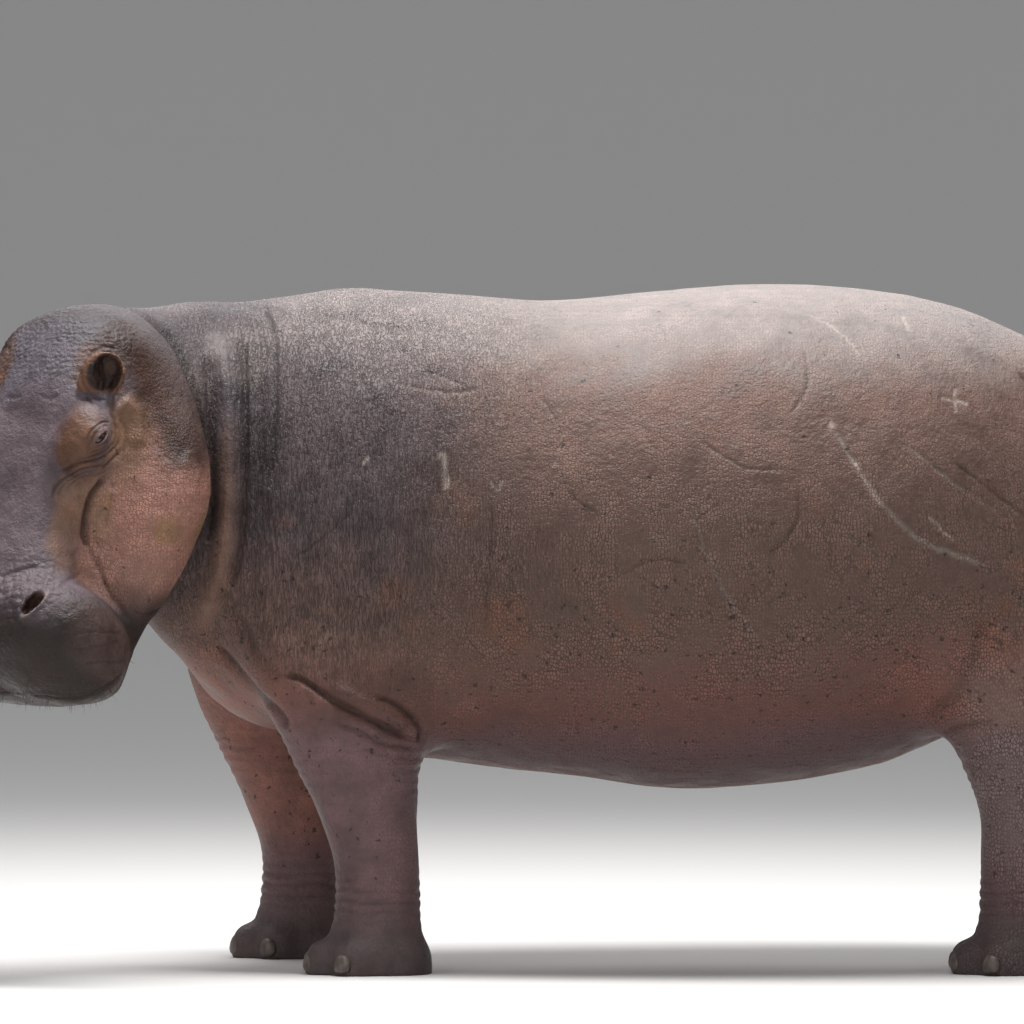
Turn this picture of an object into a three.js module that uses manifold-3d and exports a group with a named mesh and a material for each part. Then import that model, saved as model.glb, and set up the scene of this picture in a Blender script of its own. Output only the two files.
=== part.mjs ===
// A hippopotamus, life size, standing still with its head lowered and turned to its left.
// Millimetres, +Z up. The animal faces -X, its left side faces -Y, and its soles rest on z = 0.
// The finished model's origin is the middle of the floor that it covers.
//
// The body is described as soft masses (lofts and balls) that flow into one another. Their joined
// surface is found on a grid, part by part, and parted along thin plane cuts into named pieces.
import * as THREE from "three";
import { mergeVertices } from "three/addons/utils/BufferGeometryUtils.js";
import Module from "manifold-3d";

const wasm = await Module();
wasm.setup();

// ---------------------------------------------------------------- driving dimensions

const DEG = Math.PI / 180;
const BODY_AT = [-68, 103, 0]; // where the body's own frame, used below, lies in the model
const GAP = 0.4; // clearance between neighbouring pieces
const SKIN_ALLOWANCE = 2.5; // the solids stand this far outside the finished skin
const WIDEST = 0.46; // share of the body's height at which it is widest

const HEAD_YAW = 60 * DEG; // turned from straight ahead to the animal's left
const HEAD_PITCH = 65 * DEG; // the face hangs this far below level
const CROWN = [-1008, -420, 1438]; // top of the head between the ears
const HALF_EYE_SPAN = 188; // eyeball centres, each side of the face's middle
const EYE_RADIUS = 21;

const FOOT_HEIGHT = 112; // height of the cut between foot and leg
const SOLE_HALF_LENGTH = 122;
const SOLE_HALF_WIDTH = 112;

// Where each sole stands: its middle, and which side of the body it is on.
const STANCE = {
  foreleg_left: { x: -302, y: -300, fore: true },
  foreleg_right: { x: -478, y: 300, fore: true },
  hindleg_left: { x: 1118, y: -290, fore: false },
  hindleg_right: { x: 1190, y: 290, fore: false },
};

// Grid cells: fine on the head and feet, coarse and long on the broad body.
const CELL = {
  trunk: [136, 112, 110],
  head: [46, 39, 39],
  leg: [64, 64, 100],
  foot: [56, 58, 43],
  tail: [26, 26, 60],
};

// ---------------------------------------------------------------- vectors and frames

const add = (a, b) => a.map((v, i) => v + b[i]);
const sub = (a, b) => a.map((v, i) => v - b[i]);
const dot = (a, b) => a[0] * b[0] + a[1] * b[1] + a[2] * b[2];
const scale = (a, k) => a.map((v) => v * k);
const unit = (a) => scale(a, 1 / Math.hypot(...a));
const cross = (a, b) => new THREE.Vector3(...a).cross(new THREE.Vector3(...b)).toArray();

// A frame has an origin and three axes: along, side and up.
const frame = (origin, along, side, up) => ({ origin, along, side, up });
const LEVEL = frame([0, 0, 0], [1, 0, 0], [0, 1, 0], [0, 0, 1]);
const UPRIGHT = frame([0, 0, 0], [0, 0, 1], [1, 0, 0], [0, 1, 0]);
const FACE = faceFrame();

// The head's frame: along runs from the crown to the lips, side to its left, up out of the brow.
function faceFrame() {
  const [cy, sy] = [Math.cos(HEAD_YAW), Math.sin(HEAD_YAW)];
  const [cp, sp] = [Math.cos(HEAD_PITCH), Math.sin(HEAD_PITCH)];
  return frame(CROWN, [-cy * cp, -sy * cp, -sp], [sy, -cy, 0], [-cy * sp, -sy * sp, cp]);
}

const turned = (f, v) => add(add(scale(f.along, v[0]), scale(f.side, v[1])), scale(f.up, v[2]));
const placed = (f, v) => add(f.origin, turned(f, v));
const seenFrom = (f, p) => {
  const q = sub(p, f.origin);
  return [dot(q, f.along), dot(q, f.side), dot(q, f.up)];
};

// ---------------------------------------------------------------- soft masses

// Length of a vector measured against three half sizes: 1 on the surface of a rounded box.
const roundness = (v, half, n) =>
  v.reduce((sum, x, i) => sum + Math.pow(Math.abs(x) / half[i], n), 0) ** (1 / n);

// Rough distance from a point to that surface, negative inside.
function depth(v, half, n) {
  const r = roundness(v, half, n);
  return r < 1e-6 ? -Math.min(...half) : Math.hypot(...v) * (1 - 1 / r);
}

// A ball: half sizes along the frame's axes, n = 2 for an ellipsoid, more for a squarer one.
const ball = (f, centre, half, n = 2) => (p) => depth(sub(seenFrom(f, p), centre), half, n);

// A loft strung along a frame's first axis. Each station holds
// [along, side, up, half side, half up, half down, n]; domes close both ends.
function loft(f, domes, stations) {
  const last = stations.length - 1;
  const slope = stations.map((_, i) => {
    const [a, b] = [stations[Math.max(0, i - 1)], stations[Math.min(last, i + 1)]];
    return a.map((v, k) => (b[k] - v) / (b[0] - a[0]));
  });
  function section(s) {
    if (s < stations[0][0] || s > stations[last][0]) {
      const end = s < stations[0][0] ? 0 : last;
      const dome = domes[end ? 1 : 0];
      const t = Math.min(1, Math.abs(s - stations[end][0]) / dome);
      const reach = Math.sign(s - stations[end][0]) * dome * (t - (t * t) / 2);
      return stations[end].map((v, k) => v + slope[end][k] * reach);
    }
    let i = 0;
    while (i < last - 1 && s > stations[i + 1][0]) i++;
    const h = stations[i + 1][0] - stations[i][0];
    const t = (s - stations[i][0]) / h;
    const rise = t * t * (3 - 2 * t);
    return stations[i].map(
      (v, k) =>
        v * (1 - rise) +
        stations[i + 1][k] * rise +
        h * t * (1 - t) * ((1 - t) * slope[i][k] - t * slope[i + 1][k]),
    );
  }
  return (p) => {
    const [s, side, up] = seenFrom(f, p);
    const [, midSide, midUp, halfSide, halfUp, halfDown, n] = section(s);
    const over = Math.max(stations[0][0] - s, s - stations[last][0], 0);
    const dome = s < stations[0][0] ? domes[0] : domes[1];
    const half = [dome, halfSide, up > midUp ? halfUp : halfDown];
    return depth([over, side - midSide, up - midUp], half, n);
  };
}

// Join two masses with a fillet about k wide, and hollow one out of another.
function blend(a, b, k) {
  const h = Math.max(0, k - Math.abs(a - b)) / k;
  return Math.min(a, b) - (h * h * k) / 4;
}
const hollow = (a, b, k) => -blend(-a, b, k);
const BOTH_SIDES = [1, -1];
const nearest = (masses, p) => Math.min(...masses.map((mass) => mass(p)));

// ---------------------------------------------------------------- trunk, neck and tail

// [x, y, top, bottom, half width, n]
const BODY_STATIONS = [
  [-930, -270, 1425, 960, 190, 2.1],
  [-830, -190, 1458, 800, 225, 2.1],
  [-720, -105, 1474, 670, 265, 2.1],
  [-610, -45, 1474, 580, 325, 2.1],
  [-500, -10, 1490, 520, 392, 2.15],
  [-380, 0, 1503, 488, 438, 2.15],
  [-180, 0, 1497, 458, 485, 2.2],
  [80, 0, 1476, 428, 540, 2.25],
  [340, 0, 1501, 396, 572, 2.25],
  [560, 0, 1512, 402, 575, 2.25],
  [800, 0, 1500, 445, 545, 2.2],
  [980, 0, 1466, 520, 490, 2.2],
  [1120, 0, 1408, 600, 425, 2.2],
];
const barrel = loft(
  LEVEL,
  [120, 285],
  BODY_STATIONS.map(([x, y, top, bottom, halfWidth, n]) => {
    const middle = bottom + WIDEST * (top - bottom);
    return [x, y, middle, halfWidth, top - middle, middle - bottom, n];
  }),
);
const brisket = ball(LEVEL, [-570, 50, 705], [130, 180, 140]);

// The tail hangs free of the rump below its root. [z, x, y, half in x, half in y, half in y, n]
const tail = loft(UPRIGHT, [30, 60], [
  [740, 1458, 0, 12, 26, 26, 2],
  [840, 1462, 0, 16, 30, 30, 2],
  [940, 1460, 0, 21, 30, 30, 2],
  [1030, 1450, 0, 27, 36, 36, 2],
  [1110, 1420, 0, 36, 46, 46, 2],
  [1190, 1360, 0, 46, 58, 58, 2],
]);

// ---------------------------------------------------------------- legs and feet

// Measured from the middle of the sole: [z, x, outward, half length, half width, n]
const FORELEG_STATIONS = [
  [0, 0, 0, 104, 98, 2.2],
  [60, 0, 0, 108, 100, 2.2],
  [130, 6, 2, 95, 92, 2.2],
  [240, 6, 6, 93, 90, 2.1],
  [360, -16, 12, 112, 100, 2.1],
  [480, -42, 16, 142, 114, 2.1],
  [640, -60, 6, 190, 126, 2.1],
  [860, -60, -50, 200, 110, 2.1],
];
const HINDLEG_STATIONS = [
  [0, 0, 0, 104, 98, 2.2],
  [60, 0, 0, 108, 100, 2.2],
  [130, 6, 2, 97, 92, 2.2],
  [250, 12, 4, 100, 92, 2.1],
  [360, 26, 8, 118, 100, 2.1],
  [480, 20, 12, 158, 122, 2.1],
  [640, 6, 4, 218, 150, 2.1],
  [860, -50, -40, 240, 165, 2.1],
];
const BELOW_SOLE = 60; // the masses run on below the floor, which cuts the soles flat
const THIGH_DOME = 240;

// Four toes to a foot, measured from the middle of the sole: [x, y, half width]
const TOES = [
  [-42, -88, 38],
  [-102, -36, 43],
  [-102, 36, 43],
  [-42, 88, 38],
];

function legOf({ x, y, fore }) {
  const side = Math.sign(y);
  const stations = (fore ? FORELEG_STATIONS : HINDLEG_STATIONS).map(
    ([z, dx, out, halfLength, halfWidth, n]) =>
      [z, x + dx, y + side * out, halfLength, halfWidth, halfWidth, n],
  );
  return loft(UPRIGHT, [BELOW_SOLE, THIGH_DOME], stations);
}

function footOf({ x, y }) {
  const pad = ball(LEVEL, [x + 5, y, 20], [SOLE_HALF_LENGTH, SOLE_HALF_WIDTH, 80], 2.4);
  const toes = TOES.map(([dx, dy, half]) =>
    ball(LEVEL, [x + dx, y + dy, 22], [half + 8, half, 52], 2.3),
  );
  return [pad, ...toes];
}

const legs = Object.values(STANCE).map(legOf);
const feet = Object.values(STANCE).flatMap(footOf);
const FEET_TOP = 260; // above this no foot reaches

// ---------------------------------------------------------------- head

// In the head's frame: [along, side, up, half side, half up, half down, n]
const skull = loft(FACE, [110, 60], [
  [40, 0, -140, 180, 125, 160, 2.2],
  [160, 0, -130, 188, 128, 150, 2.4],
  [290, 0, -125, 165, 122, 150, 2.4],
  [430, 0, -125, 130, 105, 130, 2.4],
  [560, 0, -130, 140, 112, 120, 2.5],
  [680, 0, -135, 180, 112, 120, 2.6],
]);
const jowls = loft(FACE, [150, 60], [
  [60, 0, -240, 225, 120, 130, 2.2],
  [160, 0, -255, 285, 140, 145, 2.2],
  [280, 0, -268, 316, 150, 152, 2.25],
  [400, 0, -275, 302, 140, 140, 2.25],
  [520, 0, -285, 262, 120, 118, 2.25],
  [620, 0, -292, 215, 95, 92, 2.3],
  [725, 0, -298, 195, 80, 72, 2.4],
]);
const muzzle = ball(FACE, [700, 0, -145], [108, 205, 145], 2.4);
const lips = BOTH_SIDES.map((s) => ball(FACE, [705, 132 * s, -152], [125, 132, 163], 2.2));
const brows = BOTH_SIDES.map((s) => ball(FACE, [275, 150 * s, -25], [88, 56, 55]));
const nostrilMounds = BOTH_SIDES.map((s) => ball(FACE, [690, 115 * s, -40], [75, 60, 55]));
const nostrilPits = BOTH_SIDES.map((s) => ball(nostrilFrame(s), [0, 0, 0], [30, 13, 26]));

// The nostrils are slits that slant outwards and back over the mounds.
function nostrilFrame(s) {
  const along = unit(turned(FACE, [-0.9, 0.42 * s, 0]));
  const up = FACE.up;
  return frame(placed(FACE, [680, 145 * s, 18]), along, unit(cross(up, along)), up);
}

// An ear stands up from the corner of the crown, its cup facing forward and outward.
function earFrame(s) {
  const along = unit(turned(FACE, [-0.86, 0.12 * s, 0.5]));
  const facing = turned(FACE, [0.37, 0.5 * s, 0.785]);
  const side = unit(cross(facing, along));
  return frame(placed(FACE, [178, 160 * s, -38]), along, side, cross(along, side));
}
const EAR_CUT = 26; // height of the cut across the ear's stem
function earOf(s) {
  const f = earFrame(s);
  const cup = ball(f, [60, 0, 0], [50, 47, 28], 2.1);
  const stem = ball(f, [8, 0, -8], [40, 26, 24]);
  const bowl = ball(f, [64, 0, 22], [41, 38, 32], 2.1);
  return (p) => hollow(blend(cup(p), stem(p), 14), bowl(p), 6);
}
const ears = BOTH_SIDES.map(earOf);
const EARS_REACH = 200; // beyond this distance from the head no ear is felt

const eyeCentre = (s) => placed(FACE, [280, HALF_EYE_SPAN * s, -8]);

function headField(p) {
  let d = blend(skull(p), jowls(p), 70);
  d = blend(d, muzzle(p), 60);
  d = blend(d, nearest(lips, p), 45);
  d = blend(d, nearest(brows, p), 40);
  d = blend(d, nearest(nostrilMounds, p), 45);
  d = hollow(d, nearest(nostrilPits, p), 8);
  return d < EARS_REACH ? blend(d, nearest(ears, p), 10) : d;
}

// ---------------------------------------------------------------- the whole animal and its tail

function flesh(p) {
  let d = barrel(p);
  for (const leg of legs) d = blend(d, leg(p), 120);
  d = blend(d, brisket(p), 120);
  d = blend(d, headField(p), 45);
  if (p[2] < FEET_TOP) for (const mass of feet) d = blend(d, mass(p), 22);
  return d - SKIN_ALLOWANCE;
}
const tailFlesh = (p) => tail(p) - SKIN_ALLOWANCE;

// ---------------------------------------------------------------- surfaces as solids

function solidFrom(geometry) {
  const bare = geometry.clone();
  bare.deleteAttribute("normal");
  bare.deleteAttribute("uv");
  const merged = mergeVertices(bare, 1e-4);
  const vertProperties = new Float32Array(merged.getAttribute("position").array);
  const triVerts = new Uint32Array(merged.index.array);
  return new wasm.Manifold(new wasm.Mesh({ numProp: 3, vertProperties, triVerts }));
}

const matrixOf = (f) =>
  new THREE.Matrix4()
    .makeBasis(...[f.along, f.side, f.up].map((v) => new THREE.Vector3(...v)))
    .setPosition(...f.origin);

const WHOLE_SPACE = solidFrom(new THREE.BoxGeometry(9000, 9000, 9000));

// A half space keeps what lies on the side of a plane that its normal points to.
const halfSpace = (point, normal) => ({ normal: unit(normal), offset: dot(point, unit(normal)) });
const halfSpaceIn = (f, point, normal) => halfSpace(placed(f, point), turned(f, normal));
const kept = (solid, region) =>
  region.reduce((rest, { normal, offset }) => rest.trimByPlane(normal, offset), solid);
const grown = (region) => region.map((h) => ({ ...h, offset: h.offset - GAP }));
const parted = (solid, region) => solid.subtract(kept(WHOLE_SPACE, grown(region)));
const bodiesBySize = (solid) => solid.decompose().sort((a, b) => b.volume() - a.volume());
const mainBody = (solid) => bodiesBySize(solid)[0];

// The surface of a field inside a box of a frame: one vertex in each grid cell that it crosses,
// moved onto the surface, and one quad across each grid edge that it crosses.
function fleshIn(f, low, high, cell, field = flesh) {
  const count = low.map((v, k) => Math.ceil((high[k] - v) / cell[k]) + 1);
  const outside = (v, k) => Math.max(low[k] - v, v - high[k]) + cell[k];
  const boxed = (q) => Math.max(field(placed(f, q)), ...q.map(outside));
  const index = (i, j, k) => i + count[0] * (j + count[1] * k);
  const corner = (...c) => c.map((n, k) => low[k] + n * cell[k]);
  const values = new Float64Array(count[0] * count[1] * count[2]);
  forEachCell(count, (i, j, k) => (values[index(i, j, k)] = boxed(corner(i, j, k))));

  const vertexOf = new Map();
  const positions = [];
  const cellCount = count.map((n) => n - 1);
  forEachCell(cellCount, (i, j, k) => {
    const crossing = [0, 0, 0];
    let crossings = 0;
    for (const [a, b] of CELL_EDGES) {
      const [va, vb] = [a, b].map((c) => values[index(i + c[0], j + c[1], k + c[2])]);
      if (va < 0 === vb < 0) continue;
      const t = va / (va - vb);
      a.forEach((v, n) => (crossing[n] += v + t * (b[n] - v)));
      crossings++;
    }
    if (!crossings) return;
    const start = corner(i, j, k).map((v, n) => v + (crossing[n] / crossings) * cell[n]);
    vertexOf.set(index(i, j, k), positions.length / 3);
    positions.push(...placed(f, ontoSurface(boxed, start, MOST_MOVE * Math.min(...cell))));
  });

  const triangles = [];
  forEachCell(cellCount, (i, j, k) => {
    for (let axis = 0; axis < 3; axis++) {
      const here = [i, j, k];
      const next = here.map((v, n) => v + (n === axis ? 1 : 0));
      const [inside, nextInside] = [here, next].map((c) => values[index(...c)] < 0);
      if (inside === nextInside) continue;
      const [u, v] = [(axis + 1) % 3, (axis + 2) % 3];
      const quad = [[0, 0], [1, 0], [1, 1], [0, 1]].map(([du, dv]) => {
        const c = [...here];
        c[u] -= du;
        c[v] -= dv;
        return vertexOf.get(index(...c));
      });
      pushQuad(triangles, positions, inside ? quad : quad.reverse());
    }
  });

  const geometry = new THREE.BufferGeometry();
  geometry.setAttribute("position", new THREE.Float32BufferAttribute(positions, 3));
  geometry.setIndex(triangles);
  return solidFrom(geometry);
}

const CELL_CORNERS = [0, 1, 2, 3, 4, 5, 6, 7].map((n) => [n & 1, (n >> 1) & 1, (n >> 2) & 1]);
const CELL_EDGES = CELL_CORNERS.flatMap((a, n) =>
  [1, 2, 4].filter((bit) => !(n & bit)).map((bit) => [a, CELL_CORNERS[n | bit]]),
);

function forEachCell([ni, nj, nk], visit) {
  for (let k = 0; k < nk; k++)
    for (let j = 0; j < nj; j++) for (let i = 0; i < ni; i++) visit(i, j, k);
}

const MOST_MOVE = 0.4; // share of a cell that a vertex may move

// Walk down the field's slope to its zero surface, no further than the reach.
function ontoSurface(field, start, reach) {
  const STEP = 0.5;
  const STEPS = 4;
  let p = start;
  for (let n = 0; n < STEPS; n++) {
    const value = field(p);
    const slope = p.map((_, k) => {
      const [ahead, behind] = [STEP, -STEP].map((d) => p.map((v, m) => (m === k ? v + d : v)));
      return (field(ahead) - field(behind)) / (2 * STEP);
    });
    p = sub(p, scale(slope, value / Math.max(dot(slope, slope), 0.1)));
  }
  const moved = sub(p, start);
  return add(start, scale(moved, Math.min(1, reach / Math.max(Math.hypot(...moved), 1e-9))));
}

// Split a quad along its shorter diagonal.
function pushQuad(triangles, positions, [a, b, c, d]) {
  const at = (n) => positions.slice(3 * n, 3 * n + 3);
  const length = (m, n) => Math.hypot(...sub(at(m), at(n)));
  if (length(a, c) < length(b, d)) triangles.push(a, b, c, a, c, d);
  else triangles.push(b, c, d, b, d, a);
}

// ---------------------------------------------------------------- where the body is parted

const FLOOR = halfSpace([0, 0, 0], [0, 0, 1]);

// The head ends behind the jowls and at the throat.
const NAPE = [-10, 0, 60];
const THROAT = [215, 0, -430];
const headRegion = [
  halfSpaceIn(FACE, NAPE, [NAPE[2] - THROAT[2], 0, THROAT[0] - NAPE[0]]),
  halfSpaceIn(FACE, THROAT, [0, 0, 1]),
  ...BOTH_SIDES.flatMap((s) => [
    halfSpaceIn(FACE, [0, 345 * s, 0], [0, -s, 0]),
    halfSpaceIn(FACE, [0, 345 * s, -260], [0, -180 * s, 105]),
  ]),
];

// The neck ends at the deep fold before the shoulder and, below, on a line down to the throat.
const NECK_FOLD = -593;
const neckRegion = [
  halfSpace([NECK_FOLD, 0, 0], [-1, 0, 0]),
  halfSpace([NECK_FOLD, 0, 880], [-190, 0, 237]),
];

// A leg ends on a slanting plane, along the fold above the elbow or the crease of the groin.
function legRegion({ x, y, fore }) {
  const side = Math.sign(y);
  const [ahead, behind] = fore ? [633, 500] : [500, 700];
  const [front, back] = fore ? [-202, 75] : [-168, 282];
  const rise = (behind - ahead) / (back - front);
  const INWARD_DROP = 0.36;
  return [
    halfSpace([x + front, side * 430, ahead], [rise, side * INWARD_DROP, -1]),
    halfSpace([0, side * 150, 0], [0, side, 0]),
    halfSpace([x - 330, 0, 0], [1, 0, 0]),
    halfSpace([x + 400, 0, 0], [-1, 0, 0]),
  ];
}
const aboveFoot = halfSpace([0, 0, FOOT_HEIGHT + GAP], [0, 0, 1]);
const belowAnkle = halfSpace([0, 0, FOOT_HEIGHT], [0, 0, -1]);

// The tail's root lies against the back of the rump.
const RUMP_BACK = 1408;
const behindRump = halfSpace([RUMP_BACK, 0, 0], [1, 0, 0]);

const earRegion = (s) => [
  halfSpaceIn(earFrame(s), [EAR_CUT, 0, 0], [1, 0, 0]),
  halfSpaceIn(earFrame(s), [0, 0, -38], [0, 0, 1]),
  halfSpaceIn(earFrame(s), [0, 0, 60], [0, 0, -1]),
  ...BOTH_SIDES.map((t) => halfSpaceIn(earFrame(s), [0, 70 * t, 0], [0, -t, 0])),
];

// The mouth runs under the lips, up behind them and back along the cheek, then down the jowl.
// The jaw is what lies below it. [along, up] in the head's frame
const MOUTH_LINE = [
  [900, -297],
  [640, -297],
  [588, -192],
  [540, -115],
  [365, -115],
  [325, -520],
  [900, -520],
];
const MOUTH_CORNER = 400; // behind this the cut runs down the jowl
const MOUTH_HALF_WIDTH = 450;
function jawRegion(gap) {
  const outline = MOUTH_LINE.map(
    ([a, u]) => new THREE.Vector2(a + (a < MOUTH_CORNER ? gap : 0), u - gap),
  );
  const block = new THREE.ExtrudeGeometry(new THREE.Shape(outline), {
    depth: 2 * MOUTH_HALF_WIDTH,
    bevelEnabled: false,
  });
  block.translate(0, 0, -MOUTH_HALF_WIDTH);
  const across = frame(FACE.origin, FACE.along, FACE.up, scale(FACE.side, -1));
  return solidFrom(block.applyMatrix4(matrixOf(across)));
}

// ---------------------------------------------------------------- ears, eyes and nails

// The ear's cup, turned about the way it faces: out over its back, round the rim and into the bowl.
// [radius, height towards the opening]
const EAR_PROFILE = [
  [0, -29],
  [24, -27],
  [41, -17],
  [50, -2],
  [50, 8],
  [44, 12],
  [38, 4],
  [26, -7],
  [0, -11],
];
const EAR_SEGMENTS = 12;
const EAR_MIDDLE = 60; // from the foot of the stem to the middle of the cup
const EAR_LENGTHENED = 1.08;
const STEM_HALF = [44, 29, 26];

function earSolid(s) {
  const profile = EAR_PROFILE.map(([radius, height]) => new THREE.Vector2(radius, height));
  const cup = new THREE.LatheGeometry(profile, EAR_SEGMENTS).rotateX(Math.PI / 2);
  cup.scale(EAR_LENGTHENED, 1, 1).translate(EAR_MIDDLE, 0, 0);
  const stem = new THREE.SphereGeometry(1, 10, 6).scale(...STEM_HALF).translate(8, 0, -8);
  const [outer, inner] = [cup, stem].map((g) => solidFrom(g.applyMatrix4(matrixOf(earFrame(s)))));
  return mainBody(kept(outer.add(inner), earRegion(s)));
}

function ballSolid(centre, radius, grow = 0) {
  const geometry = new THREE.SphereGeometry(radius + grow, 10, 8);
  return solidFrom(geometry.translate(...centre));
}

// A toenail: a thick shield on the front of a toe, a little above the sole.
const NAIL_HALF = [13, 21, 20]; // thickness, width, height
const NAIL_HEIGHT = 27;
const TOE_REACH = 42; // from a toe's middle to its nail's
const TOE_SPLAY = [-48, -12, 12, 48].map((a) => a * DEG);

function nailSolid({ x, y }, toe, grow = 0) {
  const [dx, dy] = TOES[toe];
  const angle = TOE_SPLAY[toe];
  const geometry = new THREE.SphereGeometry(1, 6, 5).rotateX(Math.PI / 2);
  geometry.scale(...NAIL_HALF.map((h) => h + grow)).rotateZ(-angle);
  const reach = [-Math.cos(angle) * TOE_REACH, Math.sin(angle) * TOE_REACH];
  return solidFrom(geometry.translate(x + dx + reach[0], y + dy + reach[1], NAIL_HEIGHT));
}

// ---------------------------------------------------------------- the pieces

const pieces = new Map();

function makeHead() {
  const all = fleshIn(FACE, [-176, -420, -520], [900, 420, 130], CELL.head);
  const earless = BOTH_SIDES.reduce((rest, s) => parted(rest, earRegion(s)), kept(all, headRegion));
  const sockets = BOTH_SIDES.map((s) => ballSolid(eyeCentre(s), EYE_RADIUS, GAP));
  const upper = earless.subtract(jawRegion(0));
  pieces.set("head", mainBody(sockets.reduce((rest, socket) => rest.subtract(socket), upper)));
  pieces.set("jaw", mainBody(earless.intersect(jawRegion(1.5 * GAP))));
}

const sideName = (s) => (s > 0 ? "left" : "right"); // in the head's frame

function makeEarsAndEyes() {
  for (const s of BOTH_SIDES) {
    pieces.set("ear_" + sideName(s), earSolid(s));
    pieces.set("eye_" + sideName(s), ballSolid(eyeCentre(s), EYE_RADIUS));
  }
}

function makeLegs() {
  for (const [name, stance] of Object.entries(STANCE)) {
    const { x, y } = stance;
    const [inner, outer] = y > 0 ? [y - 240, y + 280] : [y - 280, y + 240];
    const region = legRegion(stance);
    const high = fleshIn(LEVEL, [x - 420, inner, -40], [x + 420, outer, 860], CELL.leg);
    pieces.set(name, mainBody(kept(high, [...region, aboveFoot])));

    const low = fleshIn(LEVEL, [x - 260, y - 220, -90], [x + 220, y + 220, 200], CELL.foot);
    const nails = TOES.map((_, toe) => nailSolid(stance, toe, GAP));
    const pad = kept(low, [belowAnkle, FLOOR]);
    pieces.set(name.replace("leg", "foot"), mainBody(nails.reduce((a, b) => a.subtract(b), pad)));
    TOES.forEach((_, toe) => {
      pieces.set(`${name.replace("leg", "nail")}_${toe + 1}`, nailSolid(stance, toe));
    });
  }
}

function makeTrunk() {
  const all = fleshIn(LEVEL, [-1300, -760, 150], [1680, 760, 1700], CELL.trunk);
  const others = [headRegion, neckRegion, ...Object.values(STANCE).map(legRegion)];
  pieces.set("trunk", mainBody(others.reduce(parted, all)));
  pieces.set("neck", mainBody(parted(kept(all, neckRegion), headRegion)));

  const wholeTail = fleshIn(LEVEL, [1300, -90, 700], [1560, 90, 1280], CELL.tail, tailFlesh);
  pieces.set("tail", kept(wholeTail, [behindRump]));
}

makeTrunk();
makeHead();
makeEarsAndEyes();
makeLegs();

// ---------------------------------------------------------------- looks

const FINISH = {
  hide: { color: 0x75625e, roughness: 0.62, metalness: 0 },
  face: { color: 0x66585a, roughness: 0.6, metalness: 0 },
  cheek: { color: 0x86685c, roughness: 0.62, metalness: 0 },
  ear: { color: 0x4a332b, roughness: 0.65, metalness: 0 },
  eye: { color: 0x1d120d, roughness: 0.08, metalness: 0 },
  nail: { color: 0x4a423f, roughness: 0.45, metalness: 0 },
};
const FINISH_OF = { head: "face", jaw: "cheek" };
const finishOf = (name) =>
  FINISH_OF[name] ?? ["ear", "eye", "nail"].find((word) => name.includes(word)) ?? "hide";

const group = new THREE.Group();
group.position.set(...BODY_AT);
for (const [name, solid] of pieces) {
  const { vertProperties, triVerts } = solid.getMesh();
  const geometry = new THREE.BufferGeometry();
  geometry.setAttribute("position", new THREE.BufferAttribute(vertProperties, 3));
  geometry.setIndex(new THREE.BufferAttribute(triVerts, 1));
  geometry.computeVertexNormals();
  const mesh = new THREE.Mesh(geometry, new THREE.MeshStandardMaterial(FINISH[finishOf(name)]));
  mesh.name = name;
  group.add(mesh);
}

export default group;
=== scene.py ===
"""A life-size hippopotamus, standing with its head lowered and turned to its left.

One skin stands for every node of flesh. It is the surface of soft masses that flow into one another,
which is then folded, creased and scarred. The frame's solids come from nearly the same masses, but here
the nape is fuller, the ears have another shape and the tail reaches lower. The eyes, toenails and
bristles are pieces of their own.

Lengths are millimetres in the body's own frame until a mesh is made. The animal faces -X, its left
side faces -Y, and its soles rest on z = 0.
"""

import math

import bpy
import numpy as np
from bpy.props import FloatProperty, FloatVectorProperty, IntProperty, PointerProperty
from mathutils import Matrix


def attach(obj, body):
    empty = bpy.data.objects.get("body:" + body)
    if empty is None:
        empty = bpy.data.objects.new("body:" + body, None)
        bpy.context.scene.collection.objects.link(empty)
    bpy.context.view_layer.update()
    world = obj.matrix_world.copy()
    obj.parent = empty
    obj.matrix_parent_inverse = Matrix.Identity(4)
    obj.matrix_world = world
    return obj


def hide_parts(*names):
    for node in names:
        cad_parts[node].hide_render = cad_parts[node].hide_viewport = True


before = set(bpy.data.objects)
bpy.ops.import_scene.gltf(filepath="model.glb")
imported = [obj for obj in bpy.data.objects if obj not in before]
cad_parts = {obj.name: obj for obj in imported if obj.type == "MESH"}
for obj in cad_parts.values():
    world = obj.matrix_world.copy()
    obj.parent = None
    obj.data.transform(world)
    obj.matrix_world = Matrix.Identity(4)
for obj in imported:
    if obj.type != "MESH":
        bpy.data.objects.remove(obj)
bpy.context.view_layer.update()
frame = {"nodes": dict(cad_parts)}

bl_info = {
    "name": "Hippopotamus",
    "version": (1, 0, 0),
    "blender": (4, 5, 0),
    "location": "3D View > Sidebar > Hippo",
    "description": "Builds a life-size hippopotamus around its packed frame",
    "category": "Add Mesh",
}

MM = 0.001
BODY_AT = np.array([-68.0, 103.0, 0.0])  # where the body's own frame lies in the model
BOTH_SIDES = (1, -1)

# ---------------------------------------------------------------- frames


def unit(v):
    return np.asarray(v, float) / np.linalg.norm(v)


class Frame:
    """An origin and three axes: along, side and up."""

    def __init__(self, origin, along, side, up):
        self.origin = np.array(origin, float)
        self.axes = np.array([along, side, up], float)

    def seen(self, p):
        return (p - self.origin) @ self.axes.T

    def turned(self, v):
        return np.asarray(v, float) @ self.axes

    def placed(self, v):
        return self.origin + self.turned(v)


LEVEL = Frame([0, 0, 0], [1, 0, 0], [0, 1, 0], [0, 0, 1])
UPRIGHT = Frame([0, 0, 0], [0, 0, 1], [1, 0, 0], [0, 1, 0])

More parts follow.
